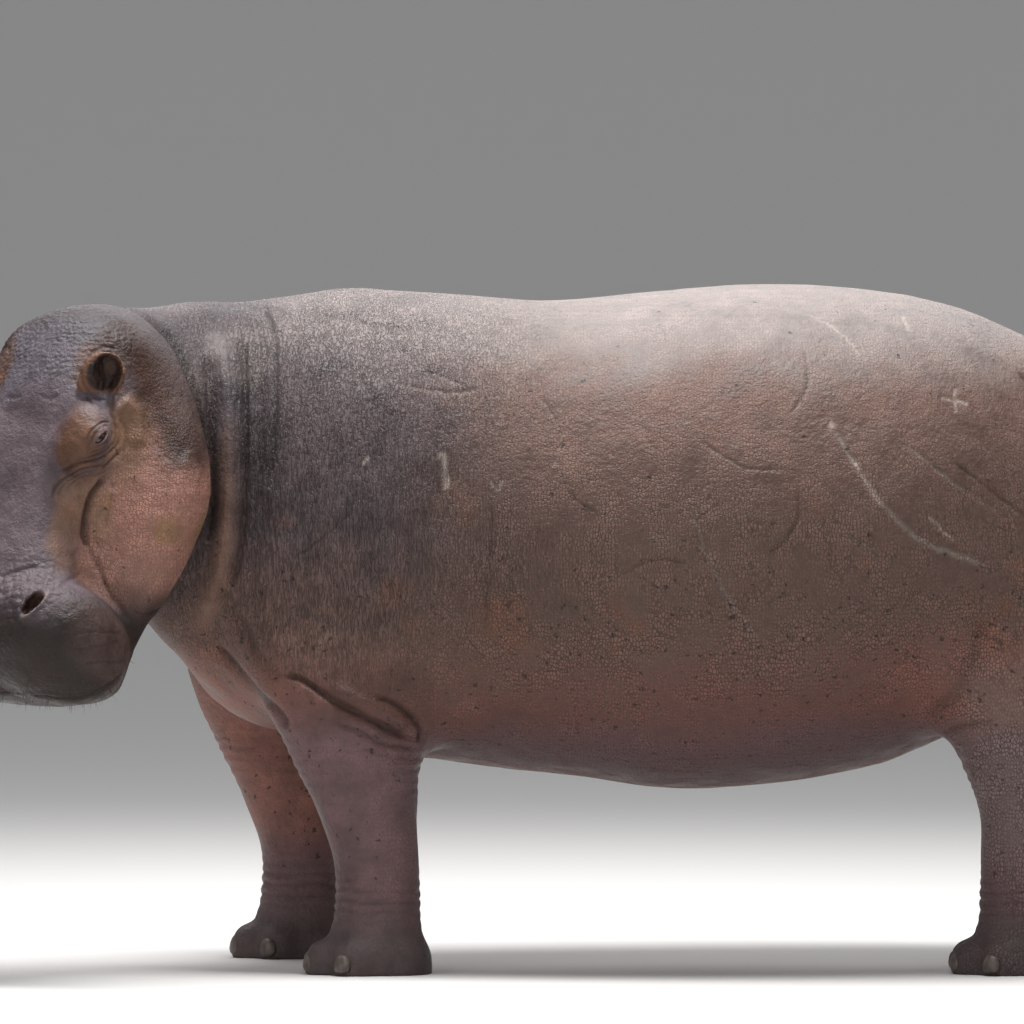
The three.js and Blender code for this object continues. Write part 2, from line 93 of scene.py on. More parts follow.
HEAD_YAW = math.radians(60)  # turned from straight ahead to the animal's left
HEAD_PITCH = math.radians(65)  # the face hangs this far below level
CROWN = [-1008, -420, 1438]  # top of the head between the ears


def face_frame():
    """The head's frame: along runs from the crown to the lips, side to its left, up out of the brow."""
    cy, sy = math.cos(HEAD_YAW), math.sin(HEAD_YAW)
    cp, sp = math.cos(HEAD_PITCH), math.sin(HEAD_PITCH)
    return Frame(CROWN, [-cy * cp, -sy * cp, -sp], [sy, -cy, 0], [-cy * sp, -sy * sp, cp])


FACE = face_frame()

# ---------------------------------------------------------------- soft masses

FAR = 400.0  # what a mass says to points far outside it
FELT = 130.0  # how far outside its box a mass is felt


def depth(v, half, n):
    """Rough distance from points to a rounded box, negative inside. n = 2 is an ellipsoid."""
    scaled = np.abs(v) / half
    if np.ndim(n):
        r = (scaled ** n[:, None]).sum(1) ** (1 / n)
    elif n == 2:
        r = np.sqrt((scaled * scaled).sum(1))
    else:
        r = (scaled**n).sum(1) ** (1 / n)
    r = np.maximum(r, 1e-4)
    return np.sqrt((v * v).sum(1)) * (1 - 1 / r)


class Mass:
    """A soft mass: how deep points lie in it, worked out only near its box."""

    def __call__(self, p):
        q = self.frame.seen(p)
        near = ((q > self.low) & (q < self.high)).all(1)
        d = np.full(len(p), FAR)
        if near.any():
            d[near] = self.inner(q[near])
        return d


class Ball(Mass):
    def __init__(self, f, centre, half, n=2):
        self.frame, self.n = f, n
        self.centre, self.half = np.array(centre, float), np.array(half, float)
        self.low = self.centre - self.half - FELT
        self.high = self.centre + self.half + FELT

    def inner(self, q):
        return depth(q - self.centre, self.half, self.n)


class Loft(Mass):
    """Sections strung along a frame's first axis, closed by a dome at each end. A station holds
    [along, side, up, half side, half up, half down, n]."""

    def __init__(self, f, domes, stations):
        self.frame, self.domes = f, np.array(domes, float)
        self.stations = st = np.array(stations, float)
        last = len(st) - 1
        before = st[[max(0, i - 1) for i in range(last + 1)]]
        after = st[[min(last, i + 1) for i in range(last + 1)]]
        self.slope = (after - before) / (after - before)[:, :1]
        slack = FELT + 30
        self.low = np.array([st[0, 0] - domes[0], (st[:, 1] - st[:, 3]).min(), (st[:, 2] - st[:, 5]).min()])
        self.high = np.array([st[-1, 0] + domes[1], (st[:, 1] + st[:, 3]).max(), (st[:, 2] + st[:, 4]).max()])
        self.low, self.high = self.low - slack, self.high + slack

    def inner(self, q):
        st, slope = self.stations, self.slope
        s = q[:, 0]
        i = np.clip(np.searchsorted(st[:, 0], s, "right") - 1, 0, len(st) - 2)
        h = (st[i + 1, 0] - st[i, 0])[:, None]
        t = np.clip((s[:, None] - st[i, :1]) / h, 0, 1)
        rise = t * t * (3 - 2 * t)
        now = st[i] * (1 - rise) + st[i + 1] * rise
        now += h * t * (1 - t) * ((1 - t) * slope[i] - t * slope[i + 1])
        beyond = s - np.clip(s, st[0, 0], st[-1, 0])
        end = np.where(beyond < 0, 0, len(st) - 1)
        dome = np.where(beyond < 0, self.domes[0], self.domes[1])
        share = np.minimum(1, np.abs(beyond) / dome)
        now += slope[end] * (np.sign(beyond) * dome * (share - share * share / 2))[:, None]
        v = np.stack([np.abs(beyond), q[:, 1] - now[:, 1], q[:, 2] - now[:, 2]], 1)
        half = np.stack([dome, now[:, 3], np.where(v[:, 2] > 0, now[:, 4], now[:, 5])], 1)
        return depth(v, half, now[:, 6])


def blend(a, b, k):
    """Joins two masses with a fillet about k wide."""
    h = np.maximum(0, k - np.abs(a - b)) / k
    return np.minimum(a, b) - h * h * k / 4


def hollow(a, b, k):
    """Hollows b out of a, with edges rounded over about k."""
    return -blend(-a, b, k)


def nearest(masses, p):
    return np.min([mass(p) for mass in masses], 0)


# ---------------------------------------------------------------- trunk, neck and tail

WIDEST = 0.46  # share of the body's height at which it is widest

# [x, y, top, bottom, half width, n]
BODY_STATIONS = [
    [-930, -270, 1425, 960, 190, 2.1],
    [-830, -190, 1458, 800, 225, 2.1],
    [-720, -105, 1474, 670, 265, 2.1],
    [-610, -45, 1474, 580, 325, 2.1],
    [-500, -10, 1490, 520, 392, 2.15],
    [-380, 0, 1503, 488, 438, 2.15],
    [-180, 0, 1497, 458, 485, 2.2],
    [80, 0, 1476, 428, 540, 2.25],
    [340, 0, 1501, 396, 572, 2.25],
    [560, 0, 1512, 402, 575, 2.25],
    [800, 0, 1500, 445, 545, 2.2],
    [980, 0, 1466, 520, 490, 2.2],
    [1120, 0, 1408, 600, 425, 2.2],
]


def body_loft():
    stations = []
    for x, y, top, bottom, half_width, n in BODY_STATIONS:
        middle = bottom + WIDEST * (top - bottom)
        stations.append([x, y, middle, half_width, top - middle, middle - bottom, n])
    return Loft(LEVEL, [120, 285], stations)


barrel = body_loft()
brisket = Ball(LEVEL, [-570, 50, 705], [130, 180, 140])
tail = Loft(
    UPRIGHT,
    [30, 60],
    [
        [740, 1458, 0, 12, 26, 26, 2],
        [840, 1462, 0, 16, 30, 30, 2],
        [940, 1460, 0, 21, 30, 30, 2],
        [1030, 1450, 0, 27, 36, 36, 2],
        [1110, 1420, 0, 36, 46, 46, 2],
        [1190, 1360, 0, 46, 58, 58, 2],
    ],
)

# ---------------------------------------------------------------- legs and feet

# Where each sole stands: x, y and whether it is a forefoot.
STANCE = {
    "foreleg_left": (-302, -300, True),
    "foreleg_right": (-478, 300, True),
    "hindleg_left": (1118, -290, False),
    "hindleg_right": (1190, 290, False),
}

# Measured from the middle of the sole: [z, x, outward, half length, half width, n]
FORELEG_STATIONS = [
    [0, 0, 0, 104, 98, 2.2],
    [60, 0, 0, 108, 100, 2.2],
    [130, 6, 2, 95, 92, 2.2],
    [240, 6, 6, 93, 90, 2.1],
    [360, -16, 12, 112, 100, 2.1],
    [480, -42, 16, 142, 114, 2.1],
    [640, -60, 6, 190, 126, 2.1],
    [860, -60, -50, 200, 110, 2.1],
]
HINDLEG_STATIONS = [
    [0, 0, 0, 104, 98, 2.2],
    [60, 0, 0, 108, 100, 2.2],
    [130, 6, 2, 97, 92, 2.2],
    [250, 12, 4, 100, 92, 2.1],
    [360, 26, 8, 118, 100, 2.1],
    [480, 20, 12, 158, 122, 2.1],
    [640, 6, 4, 218, 150, 2.1],
    [860, -50, -40, 240, 165, 2.1],
]
BELOW_SOLE = 60
THIGH_DOME = 240
SOLE_HALF = (122, 112)
TOES = [[-42, -88, 38], [-102, -36, 43], [-102, 36, 43], [-42, 88, 38]]  # [x, y, half width]
FEET_TOP = 260  # above this no foot reaches
TAIL_STARTS = 1200  # ahead of this x no tail is felt


def leg_of(x, y, fore):
    side = np.sign(y)
    stations = [
        [z, x + dx, y + side * out, half_length, half_width, half_width, n]
        for z, dx, out, half_length, half_width, n in (FORELEG_STATIONS if fore else HINDLEG_STATIONS)
    ]
    return Loft(UPRIGHT, [BELOW_SOLE, THIGH_DOME], stations)


def foot_of(x, y, fore):
    pad = Ball(LEVEL, [x + 5, y, 20], [*SOLE_HALF, 80], 2.4)
    return [pad] + [Ball(LEVEL, [x + dx, y + dy, 22], [h + 8, h, 52], 2.3) for dx, dy, h in TOES]


legs = [leg_of(*stance) for stance in STANCE.values()]
feet = [mass for stance in STANCE.values() for mass in foot_of(*stance)]

# ---------------------------------------------------------------- head

# In the head's frame: [along, side, up, half side, half up, half down, n]
skull = Loft(
    FACE,
    [110, 60],
    [
        [40, 0, -140, 180, 125, 160, 2.2],
        [160, 0, -130, 188, 128, 150, 2.4],
        [290, 0, -125, 165, 122, 150, 2.4],
        [430, 0, -125, 130, 105, 130, 2.4],
        [560, 0, -130, 140, 112, 120, 2.5],
        [680, 0, -135, 180, 112, 120, 2.6],
    ],
)
jowls = Loft(
    FACE,
    [150, 60],
    [
        [60, 0, -240, 225, 120, 130, 2.2],
        [160, 0, -255, 285, 140, 145, 2.2],
        [280, 0, -268, 316, 150, 152, 2.25],
        [400, 0, -275, 302, 140, 140, 2.25],
        [520, 0, -285, 262, 120, 118, 2.25],
        [620, 0, -292, 215, 95, 92, 2.3],
        [725, 0, -298, 195, 80, 72, 2.4],
    ],
)
muzzle = Ball(FACE, [700, 0, -145], [108, 205, 145], 2.4)
lips = [Ball(FACE, [705, 132 * s, -152], [125, 132, 163], 2.2) for s in BOTH_SIDES]
brows = [Ball(FACE, [275, 150 * s, -25], [88, 56, 55]) for s in BOTH_SIDES]
nostril_mounds = [Ball(FACE, [690, 115 * s, -40], [75, 60, 55]) for s in BOTH_SIDES]


def nostril_frame(s):
    """A slit that slants outwards and back over its mound."""
    along = unit(FACE.turned([-0.9, 0.42 * s, 0]))
    up = FACE.axes[2]
    return Frame(FACE.placed([680, 145 * s, 18]), along, unit(np.cross(up, along)), up)


NOSTRIL_HALF = [30, 13, 26]
nostril_pits = [Ball(nostril_frame(s), [0, 0, 0], NOSTRIL_HALF) for s in BOTH_SIDES]


def ear_frame(s):
    """An ear stands up from the corner of the crown, its cup facing forward and outward."""
    along = unit(FACE.turned([-0.86, 0.12 * s, 0.5]))
    facing = FACE.turned([0.37, 0.5 * s, 0.785])
    side = unit(np.cross(facing, along))
    return Frame(FACE.placed([178, 160 * s, -38]), along, side, np.cross(along, side))


class Ear:
    def __init__(self, s):
        self.frame = ear_frame(s)
        self.cup = Ball(self.frame, [60, 0, 0], [50, 47, 28], 2.1)
        self.stem = Ball(self.frame, [8, 0, -8], [40, 26, 24])
        self.flap = Ball(self.frame, [36, 33 * s, 4], [44, 23, 22])
        self.bowl = Ball(self.frame, [73, -10 * s, 22], [36, 31, 33], 2.2)
        self.notch = Ball(self.frame, [38, -6 * s, 24], [30, 17, 27])

    def __call__(self, p):
        outside = blend(blend(self.cup(p), self.stem(p), 14), self.flap(p), 16)
        return hollow(outside, blend(self.bowl(p), self.notch(p), 16), 5)


ears = [Ear(s) for s in BOTH_SIDES]

EYE_AT = [280, 188, -8]  # the left eyeball's middle, in the head's frame
EYE_RADIUS = 21
SLIT_ALONG = [-0.894, 0.25, -0.37]  # from the inner corner of the lids to the outer
EYE_OUTWARD = [0.05, 0.9, 0.43]
LID_RADIUS = 25.5


def eye_frame(s):
    """Along the slit between the lids, towards the upper lid, and straight out of the eye."""
    out = unit(np.multiply(EYE_OUTWARD, [1, s, 1]))
    along = np.multiply(SLIT_ALONG, [1, s, 1])
    along = unit(along - out * (along @ out))
    upper = np.cross(along, out) * -s
    return Frame(FACE.placed(np.multiply(EYE_AT, [1, s, 1])), *map(FACE.turned, (along, upper, out)))


lids = [Ball(eye_frame(s), [0, 0, 0], [LID_RADIUS + 2, LID_RADIUS, LID_RADIUS]) for s in BOTH_SIDES]
slits = [Ball(eye_frame(s), [0, -1, 23], [21, 6, 10]) for s in BOTH_SIDES]


class Head(Mass):
    """The whole head, felt only near its own box."""

    frame = FACE
    low = np.array([-200.0, -460.0, -560.0]) - FELT
    high = np.array([960.0, 460.0, 190.0]) + FELT

    def inner(self, q):
        p = FACE.placed(q)
        d = blend(skull(p), jowls(p), 70)
        d = blend(d, muzzle(p), 60)
        d = blend(d, nearest(lips, p), 45)
        d = blend(d, nearest(brows, p), 58)
        d = blend(d, nearest(nostril_mounds, p), 45)
        d = hollow(d, nearest(nostril_pits, p), 8)
        d = blend(d, nearest(lids, p), 16)
        d = hollow(d, nearest(slits, p), 3)
        return blend(d, nearest(ears, p), 10)


head = Head()


def under_jowl(p):
    """1 where the jowl lies against the neck, 0 up at the nape."""
    return rise(FACE.seen(p)[:, 2], -120, -230)


def at_nape(p):
    """1 high on the neck, where the crown runs into it without a fold."""
    return rise(p[:, 2], 1130, 1290)


def torso(p):
    d = barrel(p)
    for leg in legs:
        d = blend(d, leg(p), 120)
    return blend(d, brisket(p), 120)


def flesh(p):
    """The whole animal, cut flat at its soles."""
    d = blend(torso(p), head(p), 45 + 80 * at_nape(p) - 33 * under_jowl(p))
    for masses, here, k in ((feet, p[:, 2] < FEET_TOP, 22), ([tail], p[:, 0] > TAIL_STARTS, 20)):
        if here.any():
            part = d[here]
            for mass in masses:
                part = blend(part, mass(p[here]), k)
            d[here] = part
    return np.maximum(d, -p[:, 2])


# ---------------------------------------------------------------- the surface of a field

CORNERS = np.array([[n & 1, n >> 1 & 1, n >> 2 & 1] for n in range(8)])
EDGES = [(a, a | bit) for a in range(8) for bit in (1, 2, 4) if not a & bit]
QUAD = ((0, 0), (1, 0), (1, 1), (0, 1))
STRIDE = 4  # fine cells to a coarse one
BATCH = 300_000


def sampled(field, p):
    return np.concatenate([field(p[i : i + BATCH]) for i in range(0, len(p), BATCH)])


def grid_values(field, low, high, cell):
    """The field on a fine grid, worked out only where a coarse grid shows the surface to be near."""
    coarse_count = np.ceil((high - low) / (cell * STRIDE)).astype(int) + 1
    count = (coarse_count - 1) * STRIDE + 1
    steps = np.stack(np.meshgrid(*map(np.arange, coarse_count), indexing="ij"), -1).reshape(-1, 3)
    coarse = sampled(field, low + steps * (cell * STRIDE)).reshape(coarse_count)
    blocks = np.full(coarse_count - 1, FAR)
    for c in CORNERS:
        part = coarse[tuple(slice(a, n - 1 + a) for a, n in zip(c, coarse_count))]
        blocks = np.minimum(blocks, np.abs(part))
    near = np.argwhere(blocks < 1.2 * cell * STRIDE) * STRIDE
    wanted = np.zeros(count, bool)
    reach = range(STRIDE + 1)
    for i in reach:
        for j in reach:
            for k in reach:
                wanted[near[:, 0] + i, near[:, 1] + j, near[:, 2] + k] = True
    closest = [(np.arange(n) + STRIDE // 2) // STRIDE for n in count]
    values = np.where(coarse > 0, FAR, -FAR).astype(np.float32)[np.ix_(*closest)]
    values[wanted] = sampled(field, low + np.argwhere(wanted) * cell)
    return values


def surface_of(field, low, high, cell):
    """Points and quads of the field's surface: one point in each cell that it crosses."""
    low, high = np.array(low, float), np.array(high, float)
    values = grid_values(field, low, high, cell)
    inside = values < 0
    cells = np.array(values.shape) - 1
    parts = [inside[tuple(slice(a, n + a) for a, n in zip(c, cells))] for c in CORNERS]
    mixed = np.logical_or.reduce(parts) & ~np.logical_and.reduce(parts)
    at = np.argwhere(mixed)
    place = np.ravel_multi_index(at.T, cells)
    corner_values = [values[tuple((at + c).T)].astype(float) for c in CORNERS]
    total, crossings = np.zeros((len(at), 3)), np.zeros(len(at))
    for a, b in EDGES:
        va, vb = corner_values[a], corner_values[b]
        crossed = (va < 0) != (vb < 0)
        t = np.where(crossed, va / np.where(crossed, va - vb, 1), 0)
        total += crossed[:, None] * (CORNERS[a] + t[:, None] * (CORNERS[b] - CORNERS[a]))
        crossings += crossed
    points = low + (at + total / crossings[:, None]) * cell

    quads = []
    for axis in range(3):
        ahead = np.roll(np.eye(3, dtype=int)[0], axis)
        shape = np.array(values.shape) - ahead
        this = inside[tuple(slice(0, n) for n in shape)]
        following = inside[tuple(slice(a, n + a) for a, n in zip(ahead, shape))]
        here = np.argwhere(this != following)
        u, v = (axis + 1) % 3, (axis + 2) % 3
        ring = []
        for du, dv in QUAD:
            c = here.copy()
            c[:, u] -= du
            c[:, v] -= dv
            ring.append(np.searchsorted(place, np.ravel_multi_index(c.T, cells)))
        ring = np.stack(ring, 1)
        outward = this[tuple(here.T)]
        quads.append(np.where(outward[:, None], ring, ring[:, ::-1]))
    return points, np.concatenate(quads)


def settled(field, p, reach, steps=2):
    """Moves points down the field's slope onto its surface, no further than the reach."""
    nudge = 0.5
    start = p
    for _ in range(steps):
        d = sampled(field, p)
        slope = np.stack([(sampled(field, p + nudge * a) - d) / nudge for a in np.eye(3)], 1)
        p = p - slope * (d / np.maximum((slope * slope).sum(1), 0.1))[:, None]
    moved = p - start
    length = np.linalg.norm(moved, axis=1)
    return start + moved * np.minimum(1, reach / np.maximum(length, 1e-9))[:, None]


class Surface:
    """Points with quads, and the few faces with more corners where fine quads meet coarse ones."""

    def __init__(self, points, quads):
        self.points, self.quads, self.others = points, quads, []

    def split(self, chosen):
        """Splits the chosen quads in four. Returns the numbers of the new points."""
        quads, n = self.quads, len(self.points)
        following = np.roll(quads, -1, 1)
        keys = np.minimum(quads, following) * n + np.maximum(quads, following)
        parted, where = np.unique(keys[chosen], return_index=True)
        a, b = quads[chosen].reshape(-1)[where], following[chosen].reshape(-1)[where]
        middles = (self.points[a] + self.points[b]) / 2
        centres = self.points[quads[chosen]].mean(1)
        found = np.minimum(np.searchsorted(parted, keys), len(parted) - 1)
        middle = np.where(parted[found] == keys, n + found, -1)
        self.points = np.concatenate([self.points, middles, centres])
        q, m = quads[chosen], middle[chosen]
        c = n + len(middles) + np.arange(len(q))
        fine = [np.stack([q[:, i], m[:, i], c, m[:, i - 1]], 1) for i in range(4)]
        beside = ~chosen & (middle >= 0).any(1)
        for corners, between in zip(quads[beside], middle[beside]):
            pairs = np.stack([corners, between], 1).reshape(-1)
            self.others.append(pairs[pairs >= 0])
        self.quads = np.concatenate([quads[~chosen & ~beside], *fine])
        return np.arange(n, len(self.points))

    def normals(self):
        p = self.points[self.quads]
        across = np.cross(p[:, 2] - p[:, 0], p[:, 3] - p[:, 1])
        corners = self.quads
        if self.others:
            extra = np.array([face[[0, len(face) // 3, len(face) // 2, -1]] for face in self.others])
            q = self.points[extra]
            across = np.concatenate([across, np.cross(q[:, 2] - q[:, 0], q[:, 3] - q[:, 1])])
            corners = np.concatenate([corners, extra])
        total = np.zeros_like(self.points)
        for i in range(4):
            for k in range(3):
                total[:, k] += np.bincount(corners[:, i], across[:, k], len(self.points))
        return total / np.maximum(np.linalg.norm(total, axis=1), 1e-9)[:, None]

    def loops(self):
        sizes = np.concatenate([np.full(len(self.quads), 4), [len(f) for f in self.others]]).astype(int)
        corners = np.concatenate([self.quads.reshape(-1), *self.others]).astype(np.int32)
        starts = np.concatenate([[0], np.cumsum(sizes)[:-1]]).astype(np.int32)
        return corners, starts, sizes


# ---------------------------------------------------------------- patterns


def eased(t):
    t = np.clip(t, 0, 1)
    return t * t * (3 - 2 * t)


def rise(x, start, end):
    """0 before start, 1 after end, eased between them. The ends may be given in either order."""
    return eased((x - start) / (end - start))


def bell(x, width):
    return np.exp(-((x / width) ** 2))


def scattered(cell, seed):
    """A number from 0 to 1 for each grid cell, always the same for the same cell and seed."""
    x, y, z = cell.T.astype(np.uint64)
    h = x * np.uint64(73856093) ^ y * np.uint64(19349663) ^ z * np.uint64(83492791)
    h ^= np.uint64(seed * 2654435761 % 2**32)
    for shift, factor in ((15, 2246822519), (13, 3266489917), (16, 668265263)):
        h = (h ^ (h >> np.uint64(shift))) * np.uint64(factor) & np.uint64(0xFFFFFFFF)
    return h.astype(float) / 2**32


def noise(p, size, seed):
    """Smooth noise from -1 to 1, with features about one size across."""
    q = p / size
    cell = np.floor(q).astype(np.int64)
    t = q - cell
    t = t * t * (3 - 2 * t)
    total = np.zeros(len(p))
    for c in CORNERS:
        total += np.where(c, t, 1 - t).prod(1) * scattered(cell + c + 4096, seed)
    return 2 * total - 1


def pebbles(p, size, seed):
    """Rounded pebbles: 1 at the middle of each, 0 in the cracks between them."""
    q = p / size
    cell = np.floor(q).astype(np.int64)
    first, second = np.full(len(p), 9.0), np.full(len(p), 9.0)
    for n in range(27):
        c = cell + [n % 3 - 1, n // 3 % 3 - 1, n // 9 - 1]
        seat = c + 0.5 + 0.7 * (np.stack([scattered(c + 4096, seed + k) for k in range(3)], 1) - 0.5)
        d = np.linalg.norm(q - seat, axis=1)
        second = np.minimum(second, np.maximum(first, d))
        first = np.minimum(first, d)
    return eased((second - first) / 0.5)


def smooth_line(points, steps=6):
    """A smooth line through the points, as short straight pieces."""
    p = np.array(points, float)
    p = np.concatenate([[2 * p[0] - p[1]], p, [2 * p[-1] - p[-2]]])
    t = np.arange(steps)[:, None] / steps
    line = []
    for a, b, c, d in zip(p, p[1:], p[2:], p[3:]):
        line.append(
            0.5 * (2 * b + t * (c - a) + t**2 * (2 * a - 5 * b + 4 * c - d) + t**3 * (3 * b - a - 3 * c + d))
        )
    return np.concatenate([*line, [p[-2]]])


def off_line(p, points, reach):
    """How far points lie from a smooth line, at most the reach, and their share of its length."""
    line = smooth_line(points)
    away, share = np.full(len(p), float(reach)), np.zeros(len(p))
    near = ((p > line.min(0) - reach) & (p < line.max(0) + reach)).all(1)
    q = p[near]
    best, along = np.full(len(q), float(reach)), np.zeros(len(q))
    for i, (a, b) in enumerate(zip(line, line[1:])):
        t = np.clip((q - a) @ (b - a) / ((b - a) @ (b - a)), 0, 1)
        d = np.linalg.norm(q - a - t[:, None] * (b - a), axis=1)
        closer = d < best
        best[closer] = d[closer]
        along[closer] = ((i + t) / (len(line) - 1))[closer]
    away[near], share[near] = best, along
    return away, share


# ---------------------------------------------------------------- folds, creases and scars

# Seen from the side, in x and z, on the head's left: (points, half width, height, darkness).
# A crease is below 0, and its darkness is painted shade. The head's right side mirrors them.
HEAD_LINES = {
    "cheek crease": (
        [
            (-883, 1093), (-900, 1075), (-914, 1048), (-923, 1017), (-927, 984), (-925, 960), (-919, 939)
        ], 6.5, -11, 0.9,
    ),
    "line of the cheek": (
        [
            (-867, 1108),
            (-887, 1087),
            (-906, 1062),
            (-919, 1034),
            (-926, 1005),
            (-926, 968),
            (-917, 935),
            (-891, 879),
            (-876, 846),
            (-856, 822),
            (-842, 798),
            (-834, 777),
        ],
        6, -5, 0.25,
    ),
    "roll behind the crease": (
        [(-867, 1075), (-880, 1046), (-889, 1013), (-895, 980), (-902, 952)],
        13, 7, 0.0,
    ),
    "line behind the roll": ([(-867, 1087), (-872, 1054), (-880, 1013), (-886, 980)], 4, -2.5, 0.35),
    "mouth": (
        [
            (-1182, 638),
            (-1113, 629),
            (-1026, 624),
            (-982, 621),
            (-945, 619),
            (-908, 629),
            (-876, 643),
            (-852, 661),
            (-838, 690),
        ],
        2.6, -5, 0.9,
    ),
    "edge of the upper lip": (
        [(-1182, 642), (-1113, 633), (-1026, 628), (-982, 626), (-945, 624), (-913, 633)],
        3, 2.0, 0.0,
    ),
    "brow crease": ([(-1029, 1273), (-1015, 1267), (-998, 1267), (-985, 1272)], 6, -2.5, 0.2),
    "crease of the upper lid": (
        [(-922, 1169), (-915, 1191), (-901, 1207), (-884, 1216), (-872, 1210)],
        2.2, -3, 0.7,
    ),
    "roll of the upper lid": ([(-912, 1182), (-899, 1198), (-883, 1205)], 4.5, 2.2, 0.0),
    "line of the lower lid": (
        [(-912, 1151), (-895, 1153), (-879, 1166), (-868, 1181), (-867, 1198)],
        2.0, -2.4, 0.6,
    ),
    "first fold below the eye": (
        [(-959, 1128), (-924, 1138), (-896, 1145), (-874, 1159), (-860, 1178), (-860, 1202), (-867, 1218)],
        2.4, -3.2, 0.6,
    ),
    "second fold below the eye": (
        [(-995, 1107), (-965, 1113), (-937, 1127), (-906, 1131), (-881, 1141), (-862, 1160), (-851, 1186)],
        3.0, -5, 0.85,
    ),
    "third fold below the eye": (
        [
            (-999, 1042),
            (-991, 1072),
            (-974, 1090),
            (-946, 1105),
            (-914, 1115),
            (-881, 1123),
            (-860, 1140),
            (-845, 1164),
        ],
        3.4, -5, 0.8,
    ),
    "fourth fold below the eye": (
        [(-986, 1053), (-975, 1074), (-956, 1090), (-930, 1101), (-904, 1104)],
        2.4, -3, 0.5,
    ),
    "fifth fold below the eye": ([(-969, 1066), (-942, 1089), (-912, 1097), (-883, 1107)], 2.4, -2.5, 0.4),
    "rolls below the eye": (
        [(-992, 1087), (-965, 1101), (-928, 1119), (-896, 1123), (-867, 1145)],
        5.5, 3.5, 0.0,
    ),
    "nick by the eye": ([(-864, 1159), (-859, 1150), (-854, 1140)], 1.8, -1.5, 0.95),
    "first line by the temple": ([(-854, 1223), (-842, 1202), (-842, 1169), (-850, 1136)], 4, -3, 0.35),
    "second line by the temple": ([(-873, 1239), (-863, 1218), (-858, 1194)], 2.6, -2.5, 0.4),
    "temple bulge": ([(-854, 1262), (-830, 1245), (-815, 1221), (-813, 1192), (-818, 1161)], 19, 11, 0.0),
    "hollow behind the temple": (
        [(-818, 1288), (-793, 1251), (-779, 1221), (-758, 1188), (-735, 1157), (-707, 1132)], 26, -5, 0.35,
    ),
    "fold before the ear": (
        [(-940, 1337), (-940, 1313), (-924, 1288), (-903, 1267), (-875, 1263)],
        4, -4.5, 0.6,
    ),
    "second fold before the ear": ([(-955, 1319), (-946, 1292), (-924, 1271), (-904, 1255)], 4, -3, 0.45),
    "wrinkle above the ear": ([(-924, 1354), (-912, 1370), (-883, 1378), (-854, 1370)], 4, -2.5, 0.35),
    "nostril furrow": ([(-1113, 785), (-1086, 798), (-1065, 790), (-1047, 772)], 6, -3, 0.3),
    "furrow above the nostril": (
        [(-1113, 843), (-1091, 851), (-1065, 872), (-1034, 885), (-1000, 881)],
        5, -4, 0.45,
    ),
    "second furrow above it": ([(-1113, 877), (-1086, 890), (-1056, 898), (-1026, 907)], 5, -3.5, 0.4),
    "third furrow above it": ([(-1017, 864), (-987, 859), (-956, 877), (-930, 885)], 5, -3, 0.35),
    "upper lobe wrinkle": ([(-945, 758), (-917, 765), (-874, 763), (-839, 758)], 3, -1.6, 0.35),
    "middle lobe wrinkle": ([(-939, 728), (-895, 733), (-847, 741)], 3, -1.6, 0.35),
    "lower lobe wrinkle": ([(-921, 698), (-878, 701), (-838, 698)], 3, -1.6, 0.35),
    "jowl wrinkle": ([(-826, 807), (-791, 798), (-756, 814), (-721, 842)], 4, -2.5, 0.3),
    "jowl fold": ([(-793, 1194), (-768, 1161), (-744, 1132), (-719, 1108)], 4, -2, 0.35),
}

# Seen from the side, in x and z, on the animal's left: (points, half width, height, darkness). The darkness
# is painted shade.
BODY_LINES = {
    "neck ridge": (
        [(-650, 1400), (-628, 1310), (-620, 1190), (-619, 1080), (-628, 950), (-650, 850), (-672, 780)],
        22,
        16,
        0.0,
    ),
    "crease before the ridge": (
        [(-672, 1360), (-660, 1270), (-656, 1150), (-656, 1030), (-668, 930)], 12, -12, 1.0
    ),
    "front neck crease": (
        [(-596, 1410), (-588, 1330), (-585, 1240), (-584, 1130), (-588, 1020), (-600, 910), (-622, 830)],
        8,
        -13,
        0.75,
    ),
    "wrinkled neck band": (
        [(-556, 1400), (-552, 1300), (-550, 1200), (-552, 1100), (-560, 1000)], 16, -4, 0.45
    ),
    "back neck crease": (
        [(-556, 1480), (-530, 1425), (-519, 1350), (-518, 1250), (-524, 1150), (-536, 1060)], 6, -6, 0.5
    ),
    "third neck crease": ([(-478, 1440), (-474, 1340), (-490, 1230), (-506, 1120)], 7, -2.5, 0.25),
    "elbow crease": (
        [(-508, 662), (-461, 651), (-405, 614), (-332, 575), (-272, 544), (-208, 516)], 8, -13, 0.95
    ),
    "elbow fold": ([(-302, 612), (-259, 599), (-216, 566), (-198, 535), (-206, 506)], 7, -10, 0.9),
    "elbow roll": ([(-400, 636), (-330, 602), (-270, 576), (-226, 546)], 19, 12, 0.0),
    "lower elbow crease": ([(-400, 560), (-326, 535), (-295, 514), (-247, 502), (-210, 498)], 6, -6, 0.7),
    "elbow wrinkle": ([(-330, 500), (-280, 484), (-218, 478)], 5, -3, 0.4),
    "chest crease": ([(-662, 724), (-612, 669), (-569, 620), (-515, 577), (-490, 540)], 10, -12, 0.85),
    "breast fold": ([(-668, 905), (-610, 800), (-552, 700), (-500, 640)], 16, -6, 0.3),
    "groin crease": ([(905, 560), (960, 610), (1010, 700), (1030, 800)], 20, -7, 0.4),
    "groin fold": ([(940, 520), (985, 548), (1060, 560)], 9, -5, 0.5),
}

